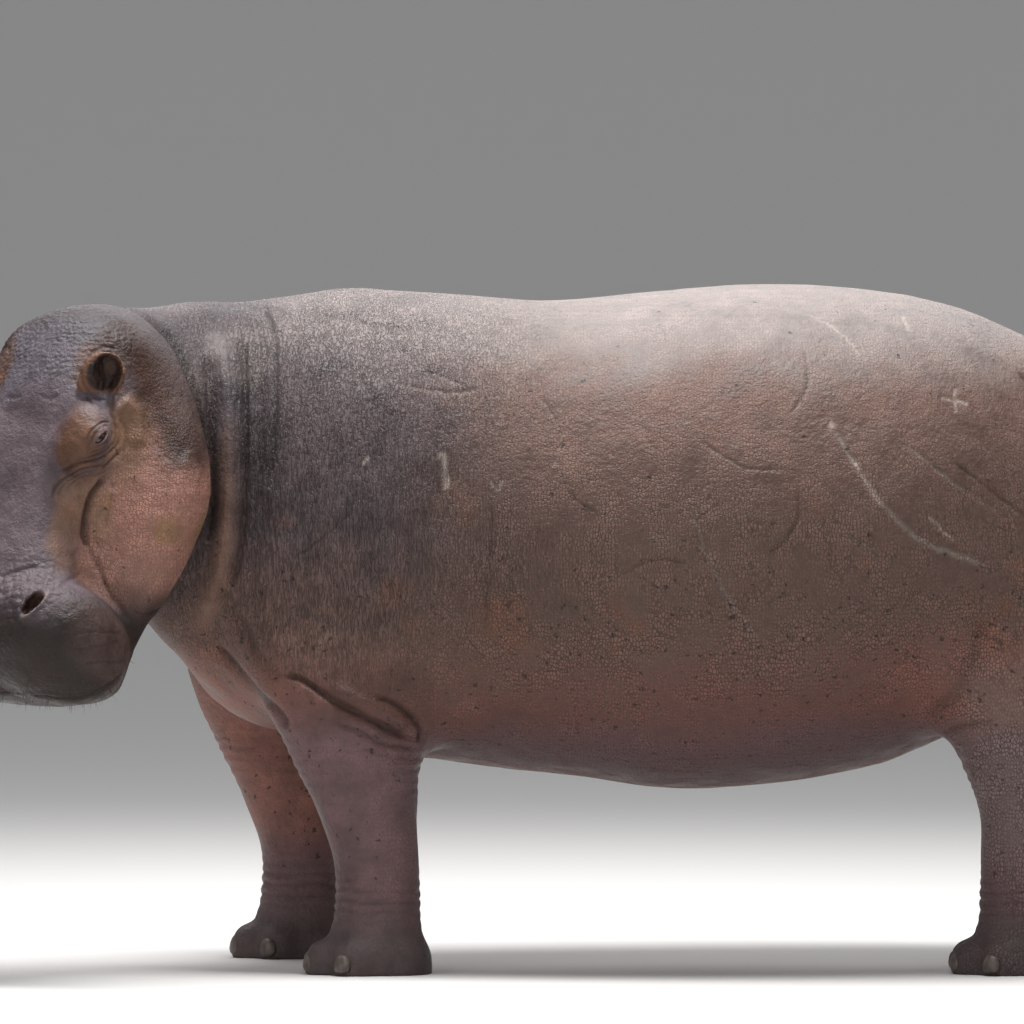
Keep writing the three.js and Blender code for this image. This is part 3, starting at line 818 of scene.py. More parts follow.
# Healed cuts, seen from the side: (points, half width, depth, darkness, paleness).
SCARS = {
    "white scar": ([(-152, 1152), (-147, 1118), (-144, 1090), (-145, 1062)], 8, 2.5, 0.0, 1.0),
    "edge of the white scar": ([(-165, 1180), (-166, 1110), (-158, 1050)], 7, 1.5, 0.55, 0.0),
    "pink nick": ([(-330, 1124), (-320, 1133), (-312, 1142)], 5, 2, 0.0, 0.8),
    "wither line": ([(-352, 1452), (-330, 1432), (-240, 1418), (-130, 1412)], 6, 3, 0.7, 0.0),
    "wither crack": ([(-200, 1330), (-120, 1300), (-110, 1260)], 4, 3, 0.5, 0.2),
    "loin streak": ([(640, 1452), (700, 1420), (740, 1385), (760, 1355)], 4, 2.5, 0.2, 0.5),
    "rump streak": ([(1110, 1330), (1180, 1240), (1230, 1160)], 5, 3, 0.7, 0.0),
    "third haunch scar": ([(690, 1010), (740, 960), (800, 930)], 4, 2.5, 0.5, 0.2),
    "cross scar": ([(905, 1015), (930, 985), (965, 950)], 4, 2, 0.2, 0.6),
    "end of the white scar": ([(-145, 1070), (-136, 1055), (-125, 1045)], 3, 2, 0.9, 0.0),
    "v scar": ([(-50, 1090), (-30, 1070), (-20, 1095)], 3.5, 2.5, 0.6, 0.4),
    "dark streak": ([(-40, 1040), (-47, 960), (-51, 900), (-60, 740)], 6, 2, 0.6, 0.0),
    "shoulder scar": ([(-350, 1050), (-370, 1000), (-420, 955), (-475, 915)], 4, 3, 0.8, 0.0),
    "haunch scar": (
        [(695, 1212), (735, 1145), (800, 1045), (885, 960), (995, 915), (1045, 900)], 7, 4, 0.6, 0.45
    ),
    "haunch scar top": ([(690, 1216), (702, 1203)], 7, 2, 0.0, 0.9),
    "second haunch scar": ([(845, 1175), (955, 1090), (1075, 1010)], 5, 3, 0.6, 0.2),
    "rump scar": ([(960, 1130), (1040, 1070), (1130, 1000)], 5, 3, 0.7, 0.0),
    "flank hook": ([(625, 1065), (622, 1010), (596, 960), (550, 925)], 5, 3, 0.7, 0.0),
    "hip scar": ([(640, 1370), (645, 1295), (610, 1235)], 4.5, 3, 0.7, 0.1),
    "belly scar": ([(385, 1035), (420, 940), (470, 830), (535, 740)], 6, 3.5, 0.7, 0.25),
    "back scar": ([(855, 1478), (862, 1440), (872, 1408)], 4.5, 3, 0.2, 0.6),
    "shoulder arc": ([(-255, 1300), (-200, 1284), (-130, 1278), (-50, 1292)], 5, 3, 0.5, 0.2),
    "star": ([(935, 1268), (968, 1262), (1000, 1252)], 5, 3, 0.3, 0.6),
    "star point": ([(972, 1290), (967, 1262), (972, 1235)], 5, 3, 0.3, 0.6),
    "rib scar": ([(105, 1112), (135, 1045), (190, 1015)], 3.5, 2.5, 0.6, 0.0),
    "low flank scar": ([(235, 880), (300, 915), (385, 910)], 3.5, 2.5, 0.5, 0.0),
    "long flank scar": ([(385, 1195), (495, 1120), (605, 1110)], 3.5, 2.5, 0.5, 0.1),
    "curl": ([(60, 1275), (105, 1195), (85, 1110)], 3.5, 2.5, 0.5, 0.1),
    "loin scar": ([(320, 1305), (280, 1220), (310, 1145)], 3.5, 2.5, 0.5, 0.1),
}
FAR_SIDE_SHIFT = 560  # the far flank wears its scars mirrored about half this x
SCAR_REACH = 16


def side_view(p, scars=False):
    """Points as seen from the animal's left or, past its middle, from its right."""
    x = np.where(scars & (p[:, 1] > 0), FAR_SIDE_SHIFT - p[:, 0], p[:, 0])
    return np.stack([x, p[:, 2]], 1)


class Relief:
    """What the folds add up to: a height in millimetres, and how dark and how pale the skin is painted there.
    The dark is painted shade in creases, cracks and hollows, and the scars' own dark; the pale is the scars'
    own, and a painted highlight on the nostril rims.
    """

    def __init__(self, count):
        self.height, self.dark, self.pale = np.zeros(count), np.zeros(count), np.zeros(count)

    def line(self, seen, allowed, points, half_width, height, dark=0.0, pale=0.0):
        away, share = off_line(seen, points, 3 * half_width)
        ends = eased(np.minimum(share, 1 - share) / 0.12)
        mark = bell(away, half_width) * ends * allowed
        self.height += height * mark
        # Along a crease or fold the dark is painted shade; along a scar the dark and the pale are the scar's
        # own.
        core = bell(away, 0.75 * half_width) * ends * allowed
        self.dark = np.maximum(self.dark, dark * core)
        self.pale = np.maximum(self.pale, pale * core)


def towards_side(p, normal):
    """How far the head's skin faces the animal's left, once its right half is laid over its left."""
    turned = normal @ FACE.axes.T
    turned[:, 1] *= np.where(FACE.seen(p)[:, 1] < 0, -1, 1)
    return -FACE.turned(turned)[:, 1]


def folds(p, normal):
    """Everything that the skin adds to the soft masses."""
    relief = Relief(len(p))
    q = FACE.seen(p)
    q[:, 1] = np.abs(q[:, 1])
    head_depth, torso_depth = sampled(head, p), sampled(torso, p)
    reach = 25 + 60 * at_nape(p)
    on_head = rise((torso_depth - head_depth) / reach, -1, 1)
    on_flank = (1 - on_head) * rise(np.abs(normal[:, 1]), 0.25, 0.6)
    facing = rise(towards_side(p, normal), -0.1, 0.25)
    drifting = FACE.placed(q)[:, [0, 2]] + 2.0 * np.stack([noise(p, 18, 7), noise(p, 18, 8)], 1)
    for line in HEAD_LINES.values():
        relief.line(drifting, on_head * facing, *line)

    seen = side_view(p)
    outer = rise(np.abs(p[:, 1]), 90, 160) * (1 - on_head)
    for line in BODY_LINES.values():
        relief.line(seen, outer, *line)
    ragged = np.stack([noise(p, 16, 1), noise(p, 16, 2)], 1)
    seen = side_view(p, scars=True) + 3.5 * ragged
    uneven = on_flank * (0.75 + 0.45 * noise(p, 24, 5))
    for points, half_width, deep, dark, pale in SCARS.values():
        relief.line(seen, uneven, points, half_width, -deep, dark, pale)

    # Where the jowl presses on the neck: a groove, with painted shade in it.
    pressed = bell(head_depth - torso_depth, 15) * under_jowl(p) * bell(np.minimum(head_depth, 0), 30)
    relief.height -= 12 * pressed
    relief.dark = np.maximum(relief.dark, pressed)

    wrinkles(relief, p, q, on_head)
    around_nostrils(relief, p)
    around_eyes(relief, p)
    around_ears(relief, p)
    return relief, on_head


def wrinkles(relief, p, q, on_head):
    """Fine folds that run round the neck and legs, and the pebbled crown."""
    waver = 14 * noise(p, 90, 3) + 5 * noise(p, 30, 4)
    neck = bell(p[:, 0] + 560 + 0.1 * (p[:, 2] - 1100), 85) * rise(p[:, 2], 620, 760) * (1 - on_head)
    relief.height += 1.1 * neck * np.sin((p[:, 0] + waver) * (2 * math.pi / 13))
    ring = np.sin((p[:, 2] + waver) * (2 * math.pi / 24))
    ankle = bell(p[:, 2] - 165, 50)
    knee = bell(p[:, 2] - 455, 70)
    under_belly = rise(p[:, 0], -230, -130) * rise(p[:, 0], 980, 880)
    on_leg = (1 - on_head) * (1 - under_belly)
    relief.height += on_leg * (2.2 * ankle + 1.3 * knee) * ring
    # Painted shade in the troughs of the ankle rings.
    relief.dark = np.maximum(relief.dark, 0.35 * on_leg * ankle * rise(-ring, 0.2, 1))

    patchy = 45 * noise(p, 55, 15)
    crown = rise(q[:, 0] + patchy, 215, 90) * rise(q[:, 2], -150, -70) * on_head
    crown = np.maximum(crown, on_head * spot(q, [120, 110, -25], [75, 55, 50]))
    if crown.any():
        here = crown > 0.01
        stones = pebbles(p[here], 12, 11) * (0.7 + 0.3 * noise(p[here], 40, 12))
        relief.height[here] += crown[here] * (2.4 * stones - 1.2)
        # Painted shade in the cracks between the crown's pebbles.
        relief.dark[here] = np.maximum(relief.dark[here], 0.4 * crown[here] * (1 - stones))
    lumpy = on_head * spot(q, [640, 105, -10], [110, 90, 70])
    if lumpy.any():
        here = lumpy > 0.01
        stones = pebbles(p[here], 19, 16)
        relief.height[here] += lumpy[here] * (3.0 * stones - 1.5)
        # Painted shade in the cracks between the snout's pebbles.
        relief.dark[here] = np.maximum(relief.dark[here], 0.35 * lumpy[here] * (1 - stones))
    snout = on_head * rise(q[:, 0], 200, 260)
    relief.height += snout * (1.2 * noise(p, 22, 13) + 2.5 * noise(p, 60, 14))

    lumps = 3.5 * noise(p, 170, 21) + 1.6 * noise(p, 55, 22)
    relief.height += (1 - on_head) * lumps * rise(p[:, 2], 60, 200) - 1.0


def around_nostrils(relief, p):
    for s in BOTH_SIDES:
        q = nostril_frame(s).seen(p)
        ring = np.sqrt((q[:, 0] / NOSTRIL_HALF[0]) ** 2 + (q[:, 1] / NOSTRIL_HALF[1]) ** 2)
        here = bell(q[:, 2], 45)
        relief.height += 5 * here * bell(ring - 1.42, 0.3)
        # Painted highlight: a pale edge along one side of each nostril's rim.
        relief.pale = np.maximum(relief.pale, 0.24 * here * bell(ring - 1.25, 0.2) * rise(q[:, 1] * s, 8, -8))


def around_eyes(relief, p):
    for s in BOTH_SIDES:
        q = eye_frame(s).seen(p)
        here = rise(q[:, 2], -8, 6)
        # The crease over the upper lid and the rim of each lid.
        upper = 17 - 0.011 * q[:, 0] ** 2
        lower = -15 + 0.012 * q[:, 0] ** 2
        span = bell(q[:, 0], 30) * here
        relief.height += span * (-3.2 * bell(q[:, 1] - upper, 3) - 2.6 * bell(q[:, 1] - lower, 3))
        # Painted shade in both creases.
        relief.dark = np.maximum(
            relief.dark, span * 0.6 * np.maximum(bell(q[:, 1] - upper, 3), bell(q[:, 1] - lower, 3))
        )
        rim = bell(np.abs(q[:, 1] + 1) - 8 + 0.016 * q[:, 0] ** 2, 2.5) * bell(q[:, 0], 22) * here
        relief.height += 1.4 * rim


def around_ears(relief, p):
    for s in BOTH_SIDES:
        e = ear_frame(s).seen(p)
        away = np.linalg.norm(e[:, 1:], axis=1)
        base = bell(e[:, 0] - 12, 16) * bell(away - 40, 8)
        relief.height -= 3.5 * base
        # Painted shade in the groove round the ear's base.
        relief.dark = np.maximum(relief.dark, 0.5 * base)
        inside = rise(e[:, 2], -12, 4) * rise(np.linalg.norm((e - [62, 0, 0])[:, :2], axis=1), 42, 30)
        spokes = np.sin(8 * np.arctan2(e[:, 1], e[:, 0] - 14) + 1.2 * noise(e, 20, 18))
        relief.height += 3.0 * inside * spokes
        # Painted shade between the ridges inside the ear.
        relief.dark = np.maximum(relief.dark, 0.55 * inside * rise(-spokes, -0.2, 0.9))


# ---------------------------------------------------------------- colours


def linear(colour):
    c = np.array(colour, float)
    return np.where(c <= 0.04045, c / 12.92, ((c + 0.055) / 1.055) ** 2.4)


def painted(tone, colour, mask):
    """Lays a colour over the tone where the mask says."""
    return tone + (np.asarray(colour) - tone) * np.clip(mask, 0, 1)[:, None]


def spot(p, centre, radii):
    """1 at the middle of a soft oval patch, fading to 0 past its radii."""
    d = np.sqrt((((p - centre) / radii) ** 2).sum(1))
    return rise(d, 1.25, 0.55)


def on_neck_ridge(p):
    return bell(off_line(p[:, [0, 2]], BODY_LINES["neck ridge"][0], 90)[0], 24) * (p[:, 1] < 200)


BEHIND_EAR = [(-865, 1407), (-817, 1350), (-778, 1281), (-748, 1211), (-721, 1150)]


def skin_tones(p, normal, relief, on_head, hues):
    """The skin's colour before its fine pattern, with painted shade and painted light laid in, and how
    thickly specks lie on it.
    """
    x, y, z = p.T
    q = FACE.seen(p)
    f, side, up = q[:, 0], np.abs(q[:, 1]), q[:, 2]
    laid_over = FACE.placed(np.stack([f, side, up], 1))[:, [0, 2]]
    blotch = noise(p, 130, 31) * 0.6 + noise(p, 45, 32) * 0.4
    tone = np.tile(hues["flank"], (len(p), 1))
    # The back's lighter grey: partly its own dried skin, partly a painted sheen of the sky along the top.
    tone = painted(tone, hues["back"], rise(z + 60 * blotch, 1250, 1450))
    drifted = p * [1, 0, 1] + 110 * blotch[:, None]
    tone = painted(
        tone, hues["shoulder"], 0.9 * rise(drifted[:, 0], 40, -330) * rise(drifted[:, 2], 700, 1000)
    )
    tone = painted(tone, hues["rust"], 0.5 * rise(blotch, 0.1, 0.6) * rise(z, 620, 760) * rise(z, 1150, 950))
    tone = painted(tone, hues["belly"], rise(z + 90 * blotch, 760, 560))
    tone = painted(tone, hues["leg"], rise(z + 50 * blotch, 600, 480) * rise(np.abs(y), 120, 190))
    inner = rise(-normal[:, 1] * np.sign(y), -0.2, 0.5) * rise(z, 700, 560)
    chest = spot(p, [-620, 30, 690], [210, 330, 190])
    tone = painted(tone, hues["pink"], 0.75 * np.maximum(inner * rise(z, 200, 330), chest))
    tone = painted(tone, hues["pink"], 0.35 * spot(p * [1, 0, 1], [1000, 0, 650], [210, 1, 130]))
    tone = painted(
        tone, hues["back"], 0.35 * rise(x + 90 * blotch, 900, 1060) * rise(z, 760, 560) * rise(z, 150, 330)
    )
    # Painted shade at the elbows.
    tone = painted(tone, hues["crease"], 0.3 * spot(p * [1, 0, 1], [-280, 0, 600], [130, 1, 90]))
    tone = painted(tone, hues["foot"], rise(z, 190, 60))
    ridge = on_neck_ridge(p)
    # The neck ridge: its own lighter brown, with a painted highlight along it.
    tone = painted(tone, hues["neck"], 0.9 * ridge * rise(z, 1260, 1120))
    tone = painted(tone, hues["nape"], 0.7 * spot(p * [1, 0, 1], [-560, 0, 1180], [75, 1, 260]))
    # More of the back's grey and painted sheen along the top, kept off the nape.
    tone = painted(tone, hues["back"], 0.6 * rise(z, 1330, 1440) * rise(x, -620, -470))
    tone = painted(tone, hues["nape"], 0.7 * spot(p * [1, 0, 1], [-700, 0, 1330], [130, 1, 150]))

    face = np.tile(hues["snout"], (len(p), 1))
    face = painted(face, hues["crown"], rise(f + 60 * blotch, 240, 110) * rise(up, -190, -110))
    cheek = rise(up + 20 * blotch, -95, -150) * rise(f, 620, 540)
    face = painted(face, hues["jowl"], cheek)
    face = painted(face, hues["ochre"], 0.55 * cheek * rise(noise(p, 75, 33), 0.05, 0.5))
    face = painted(face, hues["neck"], rise(side, 330, 110) * rise(up, -330, -400))
    # Painted bounce light: the jowl's underside lightened with the pale scar colour.
    face = painted(face, hues["scar"], 0.3 * cheek * rise(up, -290, -400))
    mirrored = np.stack([f, side, up], 1) + 10 * np.stack([noise(p, 28, 34)] * 3, 1)
    wavy = 9 * np.stack([noise(p, 26, 35), noise(p, 26, 36)], 1)
    behind = bell(off_line(laid_over + wavy, BEHIND_EAR, 150)[0], 58) * rise(side, 90, 130)
    face = painted(face, hues["nape"], rise(f + 40 * blotch, 60, -40))
    face = painted(face, hues["lid"], 0.75 * spot(mirrored, [100, 135, -24], [75, 60, 60]))
    face = painted(face, hues["tan"], 0.8 * spot(mirrored, [245, 196, -100], [120, 46, 75]))
    face = painted(face, hues["tan"], 0.9 * spot(mirrored, [205, 190, -112], [70, 34, 45]))
    heights, edge = [mark[1] for mark in BEHIND_EAR[::-1]], [mark[0] for mark in BEHIND_EAR[::-1]]
    past = laid_over[:, 0] - np.interp(laid_over[:, 1], heights, edge) + 30 * blotch
    face = painted(
        face, hues["nape"], 0.85 * rise(past, -15, 35) * rise(laid_over[:, 1] + 40 * blotch, 1090, 1190)
    )
    # Rusty brown along the hollow behind the temple, darkened further as painted shade in the hollow.
    face = painted(face, hues["behind ear"], behind)
    face = painted(face, hues["tan"], 0.7 * spot(mirrored, [375, 125, -75], [95, 60, 50]))
    face = painted(face, hues["lid"], 0.95 * spot(mirrored, [296, 152, 2], [88, 66, 52]))
    face = painted(face, hues["tan"], 0.6 * spot(mirrored, [480, 118, -85], [100, 42, 50]))
    face = painted(face, hues["temple"], 0.4 * spot(mirrored, [430, 150, -150], [90, 30, 45]))
    # Painted bounce light: the lower front of the jowl lightened with the temple's pink tan.
    face = painted(face, hues["temple"], 0.6 * cheek * rise(f + 40 * blotch, 400, 560))
    face = painted(face, hues["muzzle"], rise(f + 35 * blotch - 0.45 * up, 610, 740))
    # Painted shade on the end and underside of the muzzle, down to the lips.
    face = painted(face, hues["crease"], 0.85 * rise(f - 0.3 * up, 690, 830))
    face = painted(face, hues["lip"], 0.6 * rise(side, 200, 250) * rise(f, 600, 660) * rise(f, 800, 760))
    tone = painted(tone, face, on_head)

    for s in BOTH_SIDES:
        e = ear_frame(s).seen(p)
        out = np.linalg.norm((e - [62, 0, 0])[:, :2], axis=1)
        on_ear = rise(e[:, 0], 14, 30) * rise(np.abs(e[:, 1]), 62, 54) * rise(
            np.abs(e[:, 2]), 44, 36
        ) * rise(e[:, 0], 128, 120)
        tone = painted(tone, hues["ear"], on_ear)
        tone = painted(tone, hues["ear rim"], 0.7 * on_ear * rise(out, 38, 46))
        # Painted shade in the hollow of the ear.
        tone = painted(tone, hues["ear hollow shade"], on_ear * rise(out, 42, 34) * rise(e[:, 2], -16, -6))
        n = nostril_frame(s).seen(p)
        pit = np.sqrt((n[:, 0] / 32) ** 2 + (n[:, 1] / 15) ** 2)
        # Inside each nostril: its own red-brown, darkened as painted shade in the pit.
        tone = painted(
            tone, hues["nostril"], rise(pit, 1.05, 0.85) * rise(n[:, 2], 20, 6) * rise(n[:, 2], -40, -30)
        )
        i = eye_frame(s).seen(p)
        inner_lid = rise(np.linalg.norm(i, axis=1), 25.5, 23.5) * rise(i[:, 2], 0, 8)
        tone = painted(tone, hues["inner lid"], inner_lid)

    # Painted shade in creases, cracks and hollows, with the scars' own dark marks.
    tone = painted(tone, hues["crease"], 0.72 * relief.dark)
    # Painted sheen: patches of the back's pale grey along the top of the body.
    painted_sheen = (1 - on_head) * rise(z, 1200, 1330) * rise(noise(p, 150, 37), -0.2, 0.5)
    tone = painted(tone, hues["back"], 0.3 * painted_sheen)
    # Pale scars, and a painted highlight on the nostril rims.
    tone = painted(tone, hues["scar"], 0.85 * relief.pale)
    specks = (0.12 + 0.88 * rise(z + 150 * blotch, 1060, 720)) * (1 - on_head) * rise(z, 180, 300)
    specks = np.maximum(specks, 0.4 * on_head * cheek)
    crackle = (1 - on_head) * (0.45 + 0.55 * rise(z, 1250, 950)) + on_head * (0.22 + 0.4 * cheek)
    crackle *= 1 - (1 - on_head) * rise(x, 60, -450) * 0.75
    return tone, specks, crackle


# ---------------------------------------------------------------- meshes

CHART_GAP = 0.004  # between the charts of an unwrap


def mesh_of(name, points, corners, starts):
    """An object whose mesh holds these points, in the body's frame, and faces."""
    mesh = bpy.data.meshes.new(name)
    mesh.vertices.add(len(points))
    mesh.vertices.foreach_set("co", ((points + BODY_AT) * MM).astype(np.float32).ravel())
    mesh.loops.add(len(corners))
    mesh.loops.foreach_set("vertex_index", np.asarray(corners, np.int32))
    mesh.polygons.add(len(starts))
    mesh.polygons.foreach_set("loop_start", np.asarray(starts, np.int32))
    mesh.update(calc_edges=True)
    mesh.polygons.foreach_set("use_smooth", np.ones(len(starts), bool))
    piece = bpy.data.objects.new(name, mesh)
    bpy.context.scene.collection.objects.link(piece)
    return piece


def number(mesh, name, values):
    mesh.attributes.new(name, "FLOAT", "POINT").data.foreach_set("value", values.astype(np.float32))


def colour(mesh, name, tones):
    rgba = np.concatenate([tones, np.ones((len(tones), 1))], 1).astype(np.float32)
    mesh.attributes.new(name, "FLOAT_COLOR", "POINT").data.foreach_set("color", rgba.ravel())


def part_of(p):
    """Which part of the animal each point is on, so that no two parts share a chart."""
    part = np.zeros(len(p), int)
    for n, (x, y, _) in enumerate(STANCE.values()):
        on = (p[:, 2] < 560) & (np.abs(p[:, 0] - x) < 330) & (p[:, 1] * np.sign(y) > 150)
        part[on] = 1 + n
    q = FACE.seen(p)
    part[(sampled(head, p) < 8) & (q[:, 0] > -40)] = 5
    for n, s in enumerate(BOTH_SIDES):
        e = ear_frame(s).seen(p)
        part[(e[:, 0] > 26) & (e[:, 0] < 125) & (np.abs(e[:, 1]) < 60) & (np.abs(e[:, 2]) < 45)] = 6 + n
    part[(p[:, 0] > 1411) & (p[:, 2] < 1100)] = 8
    return part


def charts(points, corners, starts, sizes):
    """An unwrap of the skin: each part is laid flat from six sides, and the charts are packed."""
    first = corners[starts]
    opposite = corners[starts + sizes // 2]
    following, last = corners[starts + 1], corners[starts + sizes - 1]
    across = np.cross(points[opposite] - points[first], points[last] - points[following])
    middle = (points[first] + points[opposite]) / 2
    part = part_of(middle)
    turned = (part >= 5) & (part <= 7)
    across = np.where(turned[:, None], across @ FACE.axes.T, across)
    main = np.abs(across).argmax(1)
    way = 2 * main + (across[np.arange(len(main)), main] > 0)
    chart = np.repeat(part * 6 + way, sizes)
    place = points[corners]
    place = np.where(np.repeat(turned, sizes)[:, None], FACE.seen(place), place)
    flat = np.zeros((len(corners), 2))
    names = np.unique(chart)
    spans = []
    for name in names:
        here = chart == name
        axis = name % 6 // 2
        u = place[here][:, [(axis + 1) % 3, (axis + 2) % 3]]
        if np.ptp(u[:, 0]) < np.ptp(u[:, 1]):
            u = u[:, ::-1] * [1, -1]
        flat[here] = u - u.min(0)
        spans.append(np.ptp(u, 0))
    spans = np.array(spans) + 1
    order = np.argsort(-spans[:, 1])
    size = math.sqrt(spans.prod(1).sum())
    while True:  # rows of charts, the tallest first, in the smallest square that holds them
        gap = CHART_GAP * size
        x = y = tall = gap
        seats = {}
        for n in order:
            width, height = spans[n]
            if x + width + gap > size:
                x, y, tall = gap, y + tall + gap, 0
            seats[n] = (x, y)
            x, tall = x + width + gap, max(tall, height)
        if y + tall + gap <= size and spans[:, 0].max() + 2 * gap <= size:
            break
        size *= 1.02
    for n, name in enumerate(names):
        here = chart == name
        flat[here] = (flat[here] + seats[n]) / size
    return flat


def put_map(mesh, flat):
    mesh.uv_layers.new(name="OFBake").data.foreach_set("uv", flat.astype(np.float32).ravel())


# ---------------------------------------------------------------- materials


class Graph:
    """A material's nodes, each made and linked in one call."""

    def __init__(self, name):
        self.material = bpy.data.materials.new(name)
        self.material.use_nodes = True
        self.tree = self.material.node_tree
        self.shader = self.tree.nodes["Principled BSDF"]

    def feed(self, socket, value):
        if isinstance(value, bpy.types.NodeSocket):
            self.tree.links.new(value, socket)
        elif value is not None:
            socket.default_value = value

    def node(self, kind, inputs=(), **settings):
        made = self.tree.nodes.new("ShaderNode" + kind)
        for name, value in settings.items():
            setattr(made, name, value)
        for name, value in dict(inputs).items():
            self.feed(made.inputs[name], value)
        return made

    def read(self, name):
        return self.node("Attribute", attribute_name=name)

    def sum(self, operation, a, b=None, c=None):
        made = self.node("Math", operation=operation)
        for socket, value in zip(made.inputs, (a, b, c)):
            self.feed(socket, value)
        return made.outputs[0]

    def scaled(self, value, low, high, to_low=0.0, to_high=1.0):
        return self.node(
            "MapRange",
            {"Value": value, "From Min": low, "From Max": high, "To Min": to_low, "To Max": to_high},
            interpolation_type="SMOOTHSTEP",
        ).outputs["Result"]

    def mix(self, factor, a, b, way="MIX"):
        made = self.node("Mix", data_type="RGBA", blend_type=way)
        for socket, value in zip((made.inputs[0], made.inputs[6], made.inputs[7]), (factor, a, b)):
            self.feed(socket, value)
        return made.outputs[2]

    def grain(self, scale, detail=2.0, rough=0.5, vector=None, stretch=None, distortion=0.0):
        where = vector or self.place(stretch)
        made = self.node(
            "TexNoise",
            {"Vector": where, "Scale": scale, "Detail": detail, "Roughness": rough, "Distortion": distortion},
        )
        return made.outputs["Fac"]

    def place(self, stretch=None):
        where = self.node("TexCoord").outputs["Object"]
        if stretch is None:
            return where
        return self.node("Mapping", {"Vector": where, "Scale": stretch}).outputs["Vector"]

    def wandering(self, scale, reach, where):
        """Places shifted by noise, so that what is laid on them has wavy edges."""
        way = self.node("VectorMath", {"Scale": reach}, operation="SCALE")
        self.feed(
            way.inputs[0],
            self.node("TexNoise", {"Vector": self.place(), "Scale": scale, "Detail": 0.0}).outputs["Color"],
        )
        moved = self.node("VectorMath", operation="ADD")
        self.feed(moved.inputs[0], where)
        self.feed(moved.inputs[1], way.outputs[0])
        return moved.outputs[0]

    def cells(self, scale, feature="F1", randomness=1.0, vector=None):
        return self.node(
            "TexVoronoi",
            {"Vector": vector or self.place(), "Scale": scale, "Randomness": randomness},
            feature=feature,
        )

    def bump(self, height, strength, distance, under=None):
        return self.node(
            "Bump", {"Height": height, "Strength": strength, "Distance": distance, "Normal": under}
        ).outputs["Normal"]

    def finish(self, piece, **sockets):
        for name, value in sockets.items():
            self.feed(self.shader.inputs[name.replace("_", " ")], value)
        piece.data.materials.append(self.material)


def grey(level, alpha=1.0):
    return (level, level, level, alpha)


def skin_material(piece, sizes):
    g = Graph("hide")
    tone = g.read("tone").outputs["Color"]
    thick = g.read("specks").outputs["Fac"]
    furrow = g.read("furrows").outputs["Fac"]
    cracked = g.read("crackle").outputs["Fac"]
    mottle = g.grain(13.0, 3.0, 0.68)

    # The hide is cracked into small cells, taller than they are wide.
    warped = g.wandering(34.0, 0.007, g.place((1.0, 1.0, 0.68)))
    edge = g.cells(sizes.crack_scale, "DISTANCE_TO_EDGE", 0.7, warped).outputs["Distance"]
    crack = g.sum("MULTIPLY", g.scaled(edge, 0.0, 0.18, 1.0, 0.0), g.scaled(mottle, 0.35, 0.6, 0.3, 1.0))
    crack = g.sum("MULTIPLY", crack, cracked)

    # Fine upright furrows on the neck and shoulder.
    upright = g.grain(190.0, 1.0, 0.55, stretch=(1.0, 0.5, 0.16), distortion=0.7)
    groove = g.scaled(g.sum("ABSOLUTE", g.sum("SUBTRACT", upright, 0.5)), 0.0, 0.085, 1.0, 0.0)
    groove = g.sum("MULTIPLY", groove, furrow)

    # Old scratches: thin winding lines, broken where the mottling is light.
    winding = g.sum("ABSOLUTE", g.sum("SUBTRACT", g.grain(5.5, 1.0, 0.5, distortion=1.3), 0.5))
    scratch = g.sum("MULTIPLY", g.scaled(winding, 0.0, 0.006, 1.0, 0.0), g.scaled(mottle, 0.48, 0.58))
    scratch = g.sum("MULTIPLY", scratch, cracked)

    shade = g.scaled(mottle, 0.26, 0.74, 0.66, 1.34)
    base = g.mix(
        1.0,
        tone,
        g.node("CombineColor", {"Red": shade, "Green": shade, "Blue": shade}).outputs[0],
        "MULTIPLY",
    )
    base = g.mix(g.sum("MULTIPLY", crack, 0.72), base, (0.026, 0.016, 0.013, 1))
    base = g.mix(g.sum("MULTIPLY", groove, 0.38), base, (0.028, 0.020, 0.018, 1))
    base = g.mix(g.sum("MULTIPLY", scratch, 0.4), base, (0.028, 0.018, 0.016, 1))

    # Dark specks with ragged edges.
    speck = g.cells(sizes.speck_scale, "F1", 1.0, g.wandering(120.0, 0.017, g.place()))
    some = g.node("SeparateColor", {"Color": speck.outputs["Color"]})
    chosen = g.sum("LESS_THAN", some.outputs[0], thick)
    radius = g.scaled(some.outputs[1], 0.0, 1.0, 0.09, 0.24)
    dot = g.sum("SUBTRACT", 1.0, g.scaled(g.sum("DIVIDE", speck.outputs["Distance"], radius), 0.5, 1.2))
    base = g.mix(g.sum("MULTIPLY", g.sum("MULTIPLY", dot, chosen), 0.8), base, (0.016, 0.010, 0.009, 1))

    # The relief in metres.
    height = g.sum("MULTIPLY_ADD", g.grain(60.0, 3.0, 0.7), 0.0046, g.sum("MULTIPLY", crack, -0.0014))
    height = g.sum("MULTIPLY_ADD", groove, -0.0019, height)
    height = g.sum("MULTIPLY_ADD", scratch, -0.0015, height)
    normal = g.bump(height, 1.0, 1.0)
    rough = g.scaled(mottle, 0.3, 0.7, sizes.roughness - 0.08, sizes.roughness + 0.1)
    g.shader.inputs["Specular IOR Level"].default_value = 0.3
    g.finish(piece, Base_Color=base, Roughness=rough, Normal=normal)


# ---------------------------------------------------------------- settings


def shade_property(name, colour_code, description):
    rgb = [int(colour_code[i : i + 2], 16) / 255 for i in (0, 2, 4)]
    return FloatVectorProperty(
        name=name, description=description, subtype="COLOR_GAMMA", size=3, min=0, max=1, default=rgb
    )


